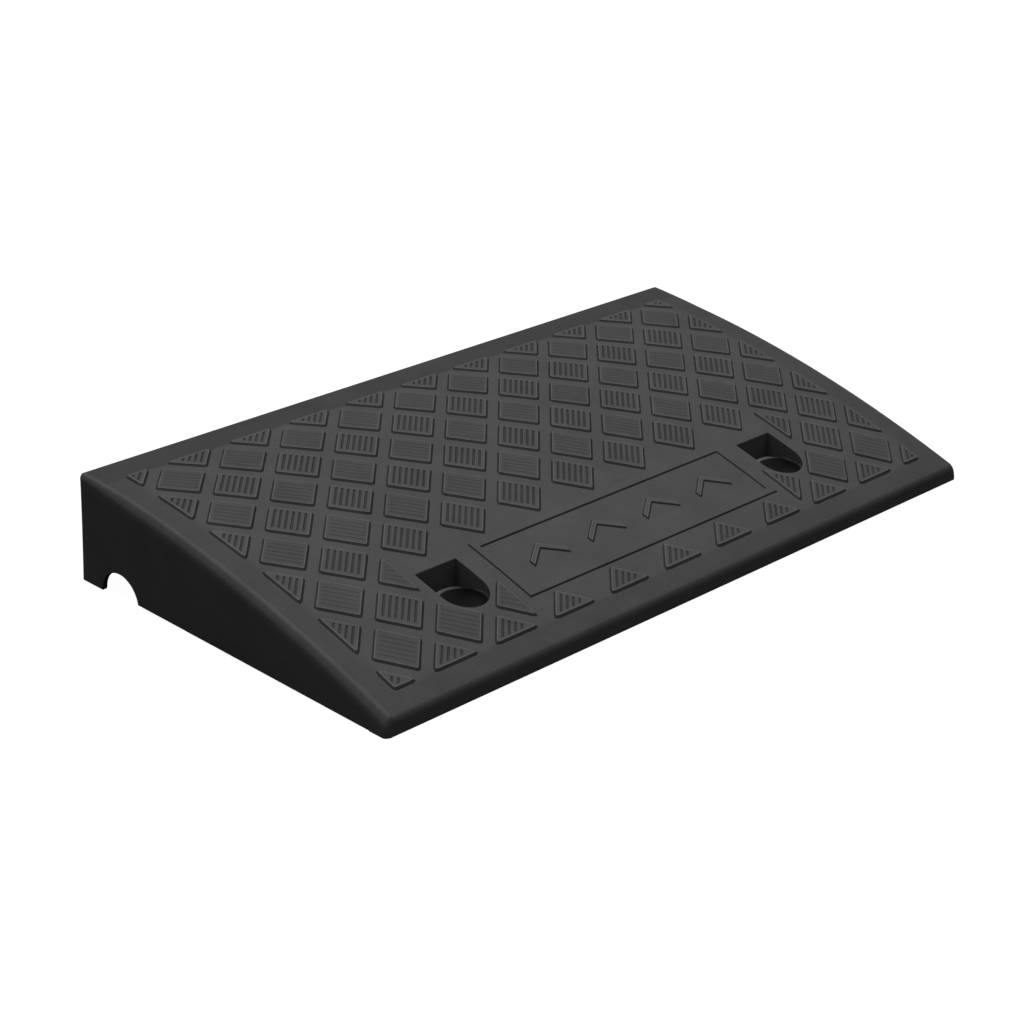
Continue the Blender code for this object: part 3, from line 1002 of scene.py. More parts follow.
@dataclass
class DeckSkin(RampPiece):
    """Bowed deck with its bevelled ends, the solid nose bar and the pockets' openings.

    Attributes:
        edge_bevel: Width of the bevel along both ends of the ramp.
        edge_turn: Radius of the bevel's two corners.
        edge_stretch: How many times further the bevel reaches down than inward.
        inner_bevel: Width of the same bevel on the inner surface.
        inner_turn: Radius of its corners there.
        back_share: Share of the bevel's size that is left at the kerb.
        back_run: Distance from the kerb over which it grows to its full size.
        nose_radius: How far the rounding along the nose reaches inward.
        nose_fall: How far it reaches down.
        nose_lean: How much further forward the nose stands at the ground.
        nose_corner_radius: Radius of the upright corners of the nose.
        back_radius: Radius of the edge along the kerb.
        round_steps: Steps in each rounded edge.
        slice_depth: Widest slice across the deck.
        land: Width of the narrow strip that keeps the flat faces flat.
        edge_highlight: Painted highlight on the rounded and bevelled edges.
        border_shade: Painted shade on the plain border round the tread.
        kerb_border_shade: Painted shade on the deck's top between the tread and the kerb.
        border_blend: Half the distance over which the border's painted shade fades into the tread.
    """

    edge_bevel: float = 0.0028
    edge_turn: float = 0.0036
    edge_stretch: float = 1.45
    inner_bevel: float = 0.0016
    inner_turn: float = 0.001
    back_share: float = 0.5
    back_run: float = 0.045
    nose_radius: float = 0.0026
    nose_fall: float = 0.0040
    nose_lean: float = 0.0004
    nose_corner_radius: float = 0.0028
    back_radius: float = 0.003
    round_steps: int = 6
    slice_depth: float = 0.003
    land: float = 0.001
    edge_highlight: float = 0.4
    border_shade: float = -0.6
    kerb_border_shade: float = -1.0
    border_blend: float = 0.004

    def slices(self) -> list[float]:
        """Places of the cross sections, close together where an edge turns.

        Returns:
            The places in order, from the nose to the kerb.
        """
        form = self.form
        places = even_steps(form.wall_start, form.back - self.back_radius, self.slice_depth)
        for inward, _ in quarter_round(self.nose_radius, self.round_steps):
            places.append(form.front + inward)
        for inward, _ in quarter_round(self.back_radius, self.round_steps):
            places.append(form.back - inward)
        places += [form.front + self.nose_radius + self.land, form.bar_end]
        for border in (form.tread_front, form.tread_back):
            places += [border - self.border_blend, border + self.border_blend]
        return in_order(places, form.front, form.back)

    def top_painted_light(self, x: float, y: float) -> float:
        """Painted light on the deck's top: a highlight on the rounded ends, shade on the border.

        Args:
            x: Where it is, along the kerb.
            y: Where it is, between nose and kerb.

        Returns:
            The painted light there, above 0 for a highlight and below 0 for shade.
        """
        form = self.form
        if y < form.front + self.nose_radius or y > form.back - self.back_radius:
            return self.edge_highlight
        if y > form.tread_back:
            return self.kerb_border_shade
        beside = abs(x) > form.tread_half_length
        return self.border_shade if beside or y < form.tread_front else 0.0

    def section(
        self, y: float, half: float, top: float, edge: Profile, low: float
    ) -> list[Spot]:
        """Cross section from the lower left over the top to the lower right.

        Args:
            y: Where the section is, between nose and kerb.
            half: Half of its width.
            top: Height of its flat top, from the deck.
            edge: Profile of its upper corners.
            low: Height of its lower ends, from the deck.

        Returns:
            The spots in order.
        """
        rim, border = self.form.rim_depth, self.form.tread_half_length
        drop = edge[0][1]
        grown = self.back_share + (1 - self.back_share) * (self.form.back - y) / self.back_run
        shrink = min(1.0, (rim + top) / drop, grown)
        left = [Spot(-half, y, low), Spot(-half, y, -rim)]
        for inward, fall in edge:
            # The bevel gets a painted highlight, which grows with the depth below the top.
            wear = self.edge_highlight * fall / drop
            left.append(Spot(-half + inward * shrink, y, top - fall * shrink, 0.0, wear))
        edge_end = -half + edge[-1][0]
        for x in (edge_end + self.land, -self.border_blend - border, self.border_blend - border):
            left.append(Spot(x, y, top, 0.0, self.top_painted_light(x, y)))
        leaning_left = [self.leaning(spot, Side.LEFT) for spot in left]
        return leaning_left + [self.leaning(spot, Side.RIGHT) for spot in reversed(left)]

    def leaning(self, spot: Spot, side: Side) -> Spot:
        """A spot of a section's left half, set on a side with the lean of that side."""
        out = -spot.x + self.form.side_shift(side, spot.y, -spot.z)
        return spot._replace(x=side.value * out)

    def outer_section(self, y: float, low: float) -> list[Spot]:
        """Cross section of the outer surface.

        Args:
            y: Where the section is, between nose and kerb.
            low: Height of its lower ends, from the deck.

        Returns:
            The spots in order.
        """
        form = self.form
        half = form.half_length - round_off(y - form.front, self.nose_corner_radius)
        half -= form.back_corner_inset(y)
        top = -round_off(y - form.front, self.nose_radius) * self.nose_fall / self.nose_radius
        top -= round_off(form.back - y, self.back_radius)
        even_edge = bevel(self.edge_bevel, self.edge_turn, self.round_steps)
        edge = [(inward, fall * self.edge_stretch) for inward, fall in even_edge]
        spots = self.section(y, half, top, edge, low)
        if y == form.front:
            ahead = y - self.nose_lean
            for end in (0, -1):
                spots[end] = Spot(spots[end].x, ahead, -form.deck_height(ahead))
        return spots

    def inner_section(self, y: float, low: float) -> list[Spot]:
        """Cross section of the surface below the skin.

        Args:
            y: Where the section is, between nose and kerb.
            low: Height of its lower ends, from the deck.

        Returns:
            The spots in order.
        """
        edge = bevel(self.inner_bevel, self.inner_turn, self.round_steps)
        half = self.form.half_length - self.form.wall
        return self.section(y, half, -self.form.skin, edge, low)

    def mesh(self) -> Mesh:
        """Closed mesh of the deck, still flat and without the pockets' openings.

        Returns:
            The mesh: outer and inner surface, with the solid bar's sections closed below.
        """
        form = self.form
        hair = self.land / 10
        maker = PieceMesh()
        outer: list[Row] = []
        inner: list[Row] = []
        bar: list[Row] = []
        for y in self.slices():
            lows = []
            if y < form.wall_start + hair:
                lows.append(-form.deck_height(y))
            if y > form.wall_start - hair:
                lows.append(-form.rim_depth)
            for low in lows:
                outer.append(maker.row(self.outer_section(y, low)))
                if y < form.bar_end + hair:
                    bar.append(outer[-1])
                if y > form.bar_end - hair:
                    inner.append(maker.row(self.inner_section(y, low)))
        for rows in (outer, inner):
            for before, after in zip(rows, rows[1:]):
                maker.bridge(before, after)
        lip = outer[len(bar) - 1 :]
        for end in (0, -1):
            maker.bridge([row[end] for row in lip], [row[end] for row in inner])
        for before, after in zip(bar, bar[1:]):
            corners = [before[0], before[-1], after[-1], after[0]]
            if after is bar[-1]:
                corners[3:3] = [inner[0][-1], inner[0][0]]
            maker.cap(corners)
        maker.cap(outer[0])
        maker.cap(inner[0])
        maker.bridge(outer[-1], inner[-1])
        return maker.finish(self.name)

    def opening(self, side: Side) -> Object:
        """Upright prism that cuts one pocket's opening.

        Args:
            side: End of the ramp that the pocket is at.

        Returns:
            The prism.
        """
        reach = 4 * self.form.skin
        ring = pocket_ring(self.form, side, self.form.opening_lip)
        rings = [[Spot(*point, level) for point in ring] for level in (-reach, reach)]
        name = f"pocket_cutter_{side.name.lower()}"
        return new_object(name, lofted(name, rings, ends=True))

    def shape(self, line: DeckLine, plastic: Material) -> Object:
        """Build the deck, cut its openings and raise it.

        Args:
            line: Raises flat pieces onto the deck.
            plastic: Material of the deck.

        Returns:
            The object.
        """
        deck = new_object(self.name, self.mesh())
        cutters = [self.opening(side) for side in Side]
        for cutter in cutters:
            cut = deck.modifiers.new(cutter.name, "BOOLEAN")
            cut.operation = "DIFFERENCE"
            cut.object = cutter
            cut.solver = "EXACT"
        settle(deck)
        for cutter in cutters:
            bpy.data.objects.remove(cutter)
        line.raise_piece(deck, plastic)
        return deck


@dataclass
class SideWall(RampPiece):
    """Upright wall at one end, arched over the cable channel.

    Attributes:
        side: End of the ramp that the wall is at.
        heel_radius: Radius of the heel's lower corners.
        edge: Width of the broken lower edge.
        slice_depth: Widest slice along the wall.
        arch_steps: Slices in the arch.
        round_steps: Slices in each rounded corner.
    """

    side: Side
    heel_radius: float = 0.001
    edge: float = 0.0004
    slice_depth: float = 0.004
    arch_steps: int = 48
    round_steps: int = 6

    def foot_height(self, y: float) -> float:
        """Height of the lower edge.

        Args:
            y: Where it is measured, between nose and kerb.

        Returns:
            The height above the ground, in metres.
        """
        form = self.form
        off_middle = y - form.channel_y
        share = min(1.0, abs(off_middle) / form.channel_reach)
        arch = form.channel_radius * math.sqrt(1 - share**2)
        if off_middle < 0:
            return max(arch, form.skirt_height(y))
        heel = round_off(max(0.0, off_middle - form.channel_reach), self.heel_radius)
        return max(arch, heel, round_off(form.back - y, self.heel_radius))

    def slices(self) -> list[float]:
        """Places of the slices, close together in the arch and at the corners.

        Returns:
            The places in order, from the nose bar to the kerb.
        """
        form = self.form
        places = even_steps(form.wall_start, form.back, self.slice_depth)
        for step in range(self.arch_steps + 1):
            turn = math.pi * step / self.arch_steps
            places.append(form.channel_y - form.channel_reach * math.cos(turn))
        for back, _ in quarter_round(self.heel_radius, self.round_steps):
            places.append(form.channel_y + form.channel_reach + back)
        for radius in (self.heel_radius, form.back_corner_radius, form.heel_corner_radius):
            for inward, _ in quarter_round(radius, self.round_steps):
                places.append(form.back - inward)
        return in_order(places, form.wall_start, form.back)

    def ring(self, y: float) -> list[Spot]:
        """Outline of one slice, from the top of the outer face round to the inner face.

        Args:
            y: Where the slice is, between nose and kerb.

        Returns:
            The spots in order.
        """
        form = self.form
        top = form.half_length + form.side_shift(self.side, y, form.rim_depth)
        outer_foot = form.half_length + form.foot_lean - form.heel_corner_inset(y)
        inner_foot = form.foot_inner
        low = self.foot_height(y)
        flat = [
            (top - form.back_corner_inset(y), -form.rim_depth, 0.0),
            (outer_foot, low + self.edge, 1.0),
            (outer_foot - self.edge, low, 1.0),
            (inner_foot + self.edge, low, 1.0),
            (inner_foot, low + self.edge, 1.0),
            (top - form.wall, -form.rim_depth, 0.0),
        ]
        return [Spot(self.side.value * x, y, z, foot) for x, z, foot in flat]

    def mesh(self) -> Mesh:
        """Build the wall, still flat."""
        return lofted(self.name, [self.ring(y) for y in self.slices()], ends=True)


@dataclass
class KerbWall(RampPiece):
    """Upright wall that stands against the kerb, between the side walls.

    Attributes:
        edge_radius: Radius of its lower edges.
        edge_steps: Steps in each of them.
        slice_width: Widest slice along the kerb.
    """

    edge_radius: float = 0.0008
    edge_steps: int = 4
    slice_width: float = 0.020

    def ring(self, x: float) -> list[Spot]:
        """Outline of one slice, from the outer face under the deck round to the inner face.

        Args:
            x: Where the slice is along the kerb, for walls that don't lean.

        Returns:
            The spots in order.
        """
        form = self.form
        inner = form.half_length - form.wall
        side = Side.LEFT if x < 0 else Side.RIGHT
        top = x * (1 + form.side_shift(side, form.back, form.skin) / inner)
        foot = x * form.foot_inner / inner
        inside = form.back - form.wall
        edge = quarter_round(self.edge_radius, self.edge_steps)
        return [
            Spot(top, form.back, -form.skin),
            *(Spot(foot, form.back - inward, up, 1.0) for inward, up in edge),
            *(Spot(foot, inside + outward, up, 1.0) for outward, up in reversed(edge)),
            Spot(top, inside, -form.skin),
        ]

    def mesh(self) -> Mesh:
        """Build the wall, still flat.

        Returns:
            The mesh.
        """
        inner = self.form.half_length - self.form.wall
        places = even_steps(-inner, inner, self.slice_width)
        return lofted(self.name, [self.ring(x) for x in places], ends=True)


@dataclass
class BoltPocket(RampPiece):
    """Lining of one bolt pocket: rounded lip, D sleeve, round collar, counterbore and hole.

    Attributes:
        side: End of the ramp that the pocket is at.
        collar_height: Height of the counterbore's collar above the ground.
        collar: Width of the collar.
        lit_side: Direction from which the collar gets the most painted light, in degrees from the X
            axis.
        collar_light_mean: Mean painted light on the collar.
        collar_light_swing: How far its painted light swings about the mean.
        right_collar_lighter: How much more painted light the right pocket's collar has than the mean
            of both.
        darkest_collar_shade: Deepest painted shade on the collar.
        full_share: Share of the direction towards the lit side at which the collar has its full width.
        least_share: Share of its width that is left on the far side.
        floor_shade: Painted shade on the floor behind the collar.
        bore_lightening: How much paler the counterbore's wall and seat are painted.
        moat: How far the floor behind the collar lies below it.
        moat_run: Distance from the collar at which the floor has its full depth.
        counterbore_radius: Radius of the round recess for the washer.
        seat_height: Height of the washer's seat above the ground.
        hole_radius: Radius of the bolt hole.
        sleeve: Thickness of the sleeve and of the boss.
        fillet: Radius where a wall meets a flat.
        broken_edge: Radius of the edges of the recess and the hole.
        turn_steps: Steps in each small radius.
    """

    side: Side
    collar_height: float = 0.0229
    collar: float = 0.0032
    lit_side: float = 130.0
    collar_light_mean: float = -1.9
    collar_light_swing: float = 3.6
    right_collar_lighter: float = 0.6
    darkest_collar_shade: float = -2.4
    full_share: float = 0.45
    least_share: float = 0.2
    floor_shade: float = -2.2
    bore_lightening: float = 1.8
    moat: float = 0.004
    moat_run: float = 0.002
    counterbore_radius: float = 0.0142
    seat_height: float = 0.008
    hole_radius: float = 0.0065
    sleeve: float = 0.003
    fillet: float = 0.0004
    broken_edge: float = 0.0003
    turn_steps: int = 3

    @property
    def middle(self) -> Vector:
        """Place of the bolt hole in plan."""
        return Vector((self.side.value * self.form.bolt_x, self.form.bolt_y))

    def pressed_in(self, point: Vector) -> float:
        """How far the counterbore gives way where a point of the D's wall comes near."""
        room = (point - self.middle).length - 2 * self.fillet - 2 * self.broken_edge
        return max(0.0, self.counterbore_radius - room)

    def towards(self, direction: Vector) -> float:
        """Share of a direction from the bolt hole that is towards the lit side."""
        side = math.radians(self.lit_side)
        return direction.normalized().dot(Vector((math.cos(side), math.sin(side))))

    def collar_painted_light(self, direction: Vector) -> float:
        """Painted light on the collar in a direction from the bolt hole: highlight towards the lit
        side, shade away from it.
        """
        mean = self.collar_light_mean + self.right_collar_lighter * self.side.value
        return max(self.darkest_collar_shade, mean + self.collar_light_swing * self.towards(direction))

    def collar_share(self, direction: Vector) -> float:
        """Share of the collar's width that it has in a direction from the bolt hole."""
        return max(self.least_share, min(1.0, self.towards(direction) / self.full_share))

    def sleeve_ring(self, grow: float, height: float, foot: bool) -> list[Spot]:
        """Ring along the pocket's D outline, grown outward, from the deck or from the ground."""
        ring = pocket_ring(self.form, self.side, grow)
        return [Spot(*point, height, float(foot)) for point in ring]

    def round_ring(self, radius: float, height: float, with_painted_light: bool = False) -> list[Spot]:
        """Ring about the bolt hole, with a point for each point of the D.

        Args:
            radius: Its radius, which is less where the D's wall comes near the counterbore.
            height: Its height above the ground.
            with_painted_light: Whether it has the collar's painted highlight and shade, or the
                counterbore's paler paint.

        Returns:
            The spots in order.
        """
        gives_way = radius >= 2 * self.hole_radius
        spots = []
        for point in pocket_ring(self.form, self.side, 0.0):
            away = point - self.middle
            reach = radius - self.pressed_in(point) if gives_way else radius
            # The collar's painted highlight and shade, or the counterbore's paler paint.
            wear = self.collar_painted_light(away) if with_painted_light else self.bore_lightening
            spots.append(Spot(*(self.middle + away.normalized() * reach), height, 1.0, wear))
        return spots

    def shelf_rings(self) -> list[list[Spot]]:
        """Rings from the foot of the D's wall over the floor to the top of the collar.

        Returns:
            The rings in that order.
        """
        top, fillet, edge = self.collar_height, self.fillet, self.broken_edge
        wall = pocket_ring(self.form, self.side, 0.0)
        wall_foot = pocket_ring(self.form, self.side, -fillet)
        across: list[tuple[Spot, ...]] = []
        for corner, inner in zip(wall, wall_foot):
            away = corner - self.middle
            collar_reach = self.counterbore_radius + self.collar * self.collar_share(away)
            room = max(0.0, away.length - collar_reach)
            floor = top - self.moat * min(1.0, room / self.moat_run)
            reach = min(collar_reach, away.length - 2 * fillet)
            foot = self.middle + away.normalized() * reach
            brim = self.middle + away.normalized() * (reach - edge)
            # Painted shade darkens the floor behind the collar; the collar's top gets the collar's
            # painted light.
            across.append((
                Spot(*corner, floor + fillet, 1.0),
                Spot(*inner, floor, 1.0, self.floor_shade),
                Spot(*foot, floor, 1.0, self.floor_shade),
                Spot(*foot, max(floor, top - edge), 1.0, self.collar_painted_light(away)),
                Spot(*brim, top, 1.0, self.collar_painted_light(away)),
            ))
        return [list(ring) for ring in zip(*across)]

    def rings(self) -> list[list[Spot]]:
        """All rings, from the lip down to the hole and back up outside.

        Returns:
            The rings in that order.
        """
        lip, under_skin = self.form.opening_lip, -self.form.skin
        top, seat = self.collar_height, self.seat_height
        bore, hole = self.counterbore_radius, self.hole_radius
        boss = bore + self.sleeve
        foot = self.form.skirt_height(self.form.bolt_y)
        under_floor = top - self.moat - self.sleeve
        lip_edge = quarter_round(lip, self.turn_steps)
        broken = quarter_round(self.broken_edge, self.turn_steps)
        fillet = quarter_round(self.fillet, self.turn_steps)
        return [
            *(self.sleeve_ring(outward, -down, False) for down, outward in lip_edge),
            *self.shelf_rings(),
            *(self.round_ring(bore + outward, top - down, True) for down, outward in broken),
            *(self.round_ring(bore - inward, seat + up) for inward, up in fillet),
            *(self.round_ring(hole + outward, seat - down) for down, outward in broken),
            self.round_ring(hole, foot),
            self.round_ring(boss, foot),
            self.round_ring(boss, under_floor),
            self.sleeve_ring(self.sleeve, under_floor, True),
            self.sleeve_ring(self.sleeve, under_skin, False),
            self.sleeve_ring(lip, under_skin, False),
        ]

    def mesh(self) -> Mesh:
        """Build the lining, still flat."""
        return lofted(self.name, self.rings(), ends=False)


@dataclass(frozen=True)
class RaisedShape:
    """Low raised shape on the deck, with sloping walls and grooves sunk in its top.

    Attributes:
        height: Height above the deck.
        root: Depth to which it reaches into the deck.
        draft: How far its wall leans inward.
        edge: Radius of its upper edge.
        edge_steps: Steps in that edge.
        corner_radius: Radius of its corners in plan.
        corner_steps: Steps in each corner.
        rim: Width of the strip along the edge that gets a painted highlight.
        groove_depth: Depth of the grooves.
        groove_draft: How far each wall of a groove leans inward.
        wall_shade: Painted shade on the walls, below zero to darken them.
        rim_highlight: Painted highlight on the strip along the edge.
        top_painted_light: Painted light on the top inside it.
        groove_shade: Painted shade on the grooves' floors.
    """

    height: float = 0.0012
    root: float = 0.0003
    draft: float = 0.0011
    edge: float = 0.0003
    edge_steps: int = 3
    corner_radius: float = 0.0023
    corner_steps: int = 2
    rim: float = 0.0007
    groove_depth: float = 0.0007
    groove_draft: float = 0.00035
    wall_shade: float = -1.7
    rim_highlight: float = 2.0
    top_painted_light: float = 0.1
    groove_shade: float = -1.2

    def wall_levels(self) -> list[Level]:
        """Levels of the outer wall, from the root up to the inside of the rim.

        Returns:
            The levels in order.
        """
        levels = [Level(0.0, -self.root, self.wall_shade), Level(0.0, 0.0, self.wall_shade)]
        for step, (inward, down) in enumerate(quarter_round(self.edge, self.edge_steps)):
            # Up the rounded edge, the walls' painted shade passes into the rim's painted highlight.
            wear = self.wall_shade + (self.rim_highlight - self.wall_shade) * step / self.edge_steps
            levels.append(Level(self.draft + inward, self.height - down, wear))
        levels.append(Level(self.draft + self.edge + self.rim, self.height, self.top_painted_light))
        return levels

    def groove_levels(self) -> list[Level]:
        """Levels of a groove, from its rim down.

        Returns:
            The levels in order.
        """
        rounding = self.edge / 2
        floor = self.height - self.groove_depth
        return [
            Level(0.0, self.height, self.top_painted_light),
            Level(rounding, self.height - rounding, self.groove_shade / 3),
            Level(rounding + self.groove_draft, floor, self.groove_shade),
        ]

    def rings(
        self, outline: Sequence[Vector], levels: Sequence[Level], radius: float
    ) -> list[list[Spot]]:
        """Rings along an outline.

        Args:
            outline: Corners in plan, anticlockwise.
            levels: Inset and height of each ring.
            radius: Radius of the corners before the inset.

        Returns:
            The rings in the order of the levels.
        """
        rings = []
        for inward, height, wear in levels:
            corner_radius = max(radius - inward, radius / 3)
            rounded = with_round_corners(inset(outline, inward), corner_radius, self.corner_steps)
            rings.append([Spot(*point, height, 0.0, wear) for point in rounded])
        return rings

    def mesh(
        self, name: str, outline: Sequence[Vector], grooves: Sequence[Sequence[Vector]] = ()
    ) -> Mesh:
        """Build the shape, flat and closed.

        Args:
            name: Name of the mesh.
            outline: Corners in plan, anticlockwise.
            grooves: Corners of each groove in plan, anticlockwise.

        Returns:
            The mesh.
        """
        maker = PieceMesh()
        wall = maker.sleeve(self.rings(outline, self.wall_levels(), self.corner_radius))
        maker.cap(wall[0])
        loops = [wall[-1]]
        for groove in grooves:
            rings = maker.sleeve(self.rings(groove, self.groove_levels(), 2 * self.edge))
            maker.cap(rings[-1])
            loops.append(rings[0])
        self.fill_top(maker, loops)
        return maker.finish(name)

    def fill_top(self, maker: PieceMesh, loops: Sequence[Row]) -> None:
        """Fill the flat top between its edge and the grooves.

        Args:
            maker: The mesh under way.
            loops: The outer loop first, then one loop for each groove.
        """
        to_millimetres, nearest = 1000.0, 1e-6
        plans = [[vert.co.to_2d() * to_millimetres for vert in loop] for loop in loops]
        verts = [vert for loop in loops for vert in loop]
        owner = [number for number, loop in enumerate(loops) for _ in loop]
        edges = []
        start = 0
        for loop in loops:
            numbers = list(range(start, start + len(loop)))
            edges += list(zip(numbers, numbers[1:] + numbers[:1]))
            start += len(loop)
        places = [place for plan in plans for place in plan]
        spots, _, triangles, origins, *_ = delaunay_2d_cdt(places, edges, [], 0, nearest)
        for triangle in triangles:
            corners = [origins[number][0] for number in triangle]
            middle = sum((spots[number] for number in triangle), Vector((0.0, 0.0))) / 3
            one_loop = len({owner[corner] for corner in corners}) == 1
            in_hole = one_loop and any(is_inside(middle, hole) for hole in plans[1:])
            if is_inside(middle, plans[0]) and not in_hole:
                maker.work.faces.new([verts[corner] for corner in corners])


@dataclass
class TreadPads(RepeatedPiece):
    """Raised square pads that stand on a corner, grooved in alternate directions.

    Attributes:
        relief: Shape of the pads.
        half_side: Half the side of a pad.
        columns_each_way: Columns from the middle to either end.
        rows: Rows behind the first one.
        rim: Width of the rim between a cut edge and the grooves.
        up_grooves: Grooves of a pad whose grooves run up the ramp.
        up_pitch: Their spacing.
        up_span: Their two ends, along themselves.
        across_grooves: Grooves of a pad whose grooves run across.
        across_pitch: Their spacing.
        across_shift: How far their middle lies from that of the pad.
        across_span: Their two ends, along themselves.
        across_depth: Their depth.
        across_groove_shade: Painted shade on their floors.
        across_top_shade: Painted shade on the top between them.
        groove_width: Width of a groove at the top.
        shortest_groove: Length below which a groove is left out.
        narrowest_groove: Share of the width below which a cut groove is left out.
    """

    relief: RaisedShape = RaisedShape()
    half_side: float = 0.0132
    columns_each_way: int = 5
    rows: int = 10
    rim: float = 0.0026
    up_grooves: int = 6
    up_pitch: float = 0.00352
    up_span: tuple[float, float] = (-0.0092, 0.0103)
    across_grooves: int = 5
    across_pitch: float = 0.00373
    across_shift: float = -0.0006
    across_span: tuple[float, float] = (-0.0098, 0.0104)
    across_depth: float = 0.00035
    across_groove_shade: float = -0.7
    across_top_shade: float = -0.2
    groove_width: float = 0.00165
    shortest_groove: float = 0.0022
    narrowest_groove: float = 0.9

    def cuts_at(self, row: int, column: float) -> tuple[Cut, ...] | None:
        """Cuts of the pad in a place, or None where no pad stands.

        Args:
            row: Row number from the nose.
            column: Column number from the middle, with a half in odd rows.

        Returns:
            The cuts that the border, the panel or a pocket asks for, always in the same order.
        """
        first_beside_panel = {1: 2.5, 2: 4.0, 3: 3.5}
        away = abs(column)
        halves = (Cut.LEFT_HALF_LOST, Cut.RIGHT_HALF_LOST)
        inner_half, outer_half = halves if column > 0 else reversed(halves)
        if row in first_beside_panel and away < first_beside_panel[row]:
            return None
        cuts = []
        if row in (1, 3) and away == first_beside_panel[row]:
            cuts.append(inner_half)
        if away == self.columns_each_way:
            cuts.append(outer_half)
        if row == 0:
            cuts.append(Cut.FRONT_HALF_LOST)
        if row == self.rows:
            cuts.append(Cut.BACK_HALF_LOST)
        return tuple(cuts)

    def run_at(self, row: int, column: float) -> GrooveRun:
        """Direction of a pad's grooves: it changes from row to row, but for three pads.

        Args:
            row: Row number from the nose.
            column: Column number from the middle, with a half in odd rows.

        Returns:
            The direction.
        """
        against_the_rule = ((1, 2.5), (3, 3.5), (3, 4.5))
        if row % 2 == 0 or (row, column) in against_the_rule:
            return GrooveRun.UP_THE_RAMP
        return GrooveRun.ACROSS_THE_RAMP

    def pad_outline(self, cuts: Sequence[Cut]) -> list[Vector]:
        """Outline of a pad about its own middle.

        Args:
            cuts: Cuts of the pad.

        Returns:
            Its corners, anticlockwise.
        """
        reach = 2 * self.half_side
        corners = ((-reach, -reach), (reach, -reach), (reach, reach), (-reach, reach))
        outline = [Vector(corner) for corner in corners]
        for run in GrooveRun:
            for sign in (-1, 1):
                normal = (sign * run.value[0], sign * run.value[1])
                outline = clipped(outline, HalfPlane(normal, self.half_side))
        for cut in cuts:
            outline = clipped(outline, HalfPlane(cut.value, 0.0))
        return outline

    def groove_outlines(self, cuts: Sequence[Cut], run: GrooveRun) -> list[list[Vector]]:
        """Outlines of a pad's grooves, kept a rim's width away from its cut edges.

        Args:
            cuts: Cuts of the pad.
            run: Direction of its grooves.

        Returns:
            One outline for each groove.
        """
        if run is GrooveRun.UP_THE_RAMP:
            count, pitch, shift, span = self.up_grooves, self.up_pitch, 0.0, self.up_span
            across = Vector(GrooveRun.ACROSS_THE_RAMP.value)
        else:
            count, pitch = self.across_grooves, self.across_pitch
            shift, span = self.across_shift, self.across_span
            across = Vector(GrooveRun.UP_THE_RAMP.value)
        along = Vector(run.value)
        grooves = []
        for number in range(count):
            middle = shift + (number - (count - 1) / 2) * pitch
            low, high = middle - self.groove_width / 2, middle + self.groove_width / 2
            corners = ((0, low), (0, high), (1, high), (1, low))
            outline = [along * span[end] + across * edge for end, edge in corners]
            if along.cross(across) > 0:
                outline.reverse()
            for cut in cuts:
                outline = clipped(outline, HalfPlane(cut.value, -self.rim))
            if len(outline) > 2 and self.is_kept(outline, along, across):
                grooves.append(outline)
        return grooves

    def is_kept(self, outline: Sequence[Vector], along: Vector, across: Vector) -> bool:
        """Whether enough of a groove is left once its pad is cut.

        Args:
            outline: Outline of what is left of the groove.
            along: Direction of the groove.
            across: Direction across it.

        Returns:
            True if it is long enough and wide enough.
        """
        ends = [along.dot(corner) for corner in outline]
        edges = [across.dot(corner) for corner in outline]
        wide_enough = max(edges) - min(edges) > self.narrowest_groove * self.groove_width
        return wide_enough and max(ends) - min(ends) > self.shortest_groove

    def kit(self) -> tuple[list[Mesh], list[Place]]:
        """One pad of each kind, and the place and the kind of every pad.

        Returns:
            The pads and the places.
        """
        form = self.form
        kinds: dict[tuple[tuple[Cut, ...], GrooveRun], int] = {}
        places = []
        for row in range(self.rows + 1):
            odd = row % 2
            for number in range(2 * self.columns_each_way + 1 - odd):
                column = number - self.columns_each_way + odd / 2
                cuts = self.cuts_at(row, column)
                if cuts is None:
                    continue
                kind = kinds.setdefault((cuts, self.run_at(row, column)), len(kinds))
                x = form.tread_shift + column * form.pad_pitch
                places.append(Place(x, form.tread_front + row * form.row_spacing, kind))
        shallow = replace(
            self.relief,
            groove_depth=self.across_depth,
            groove_shade=self.across_groove_shade,
            top_painted_light=self.across_top_shade,
        )
        pads = []
        for cuts, run in kinds:
            relief = self.relief if run is GrooveRun.UP_THE_RAMP else shallow
            grooves = self.groove_outlines(cuts, run)
            pads.append(relief.mesh("tread_pad", self.pad_outline(cuts), grooves))
        return pads, places


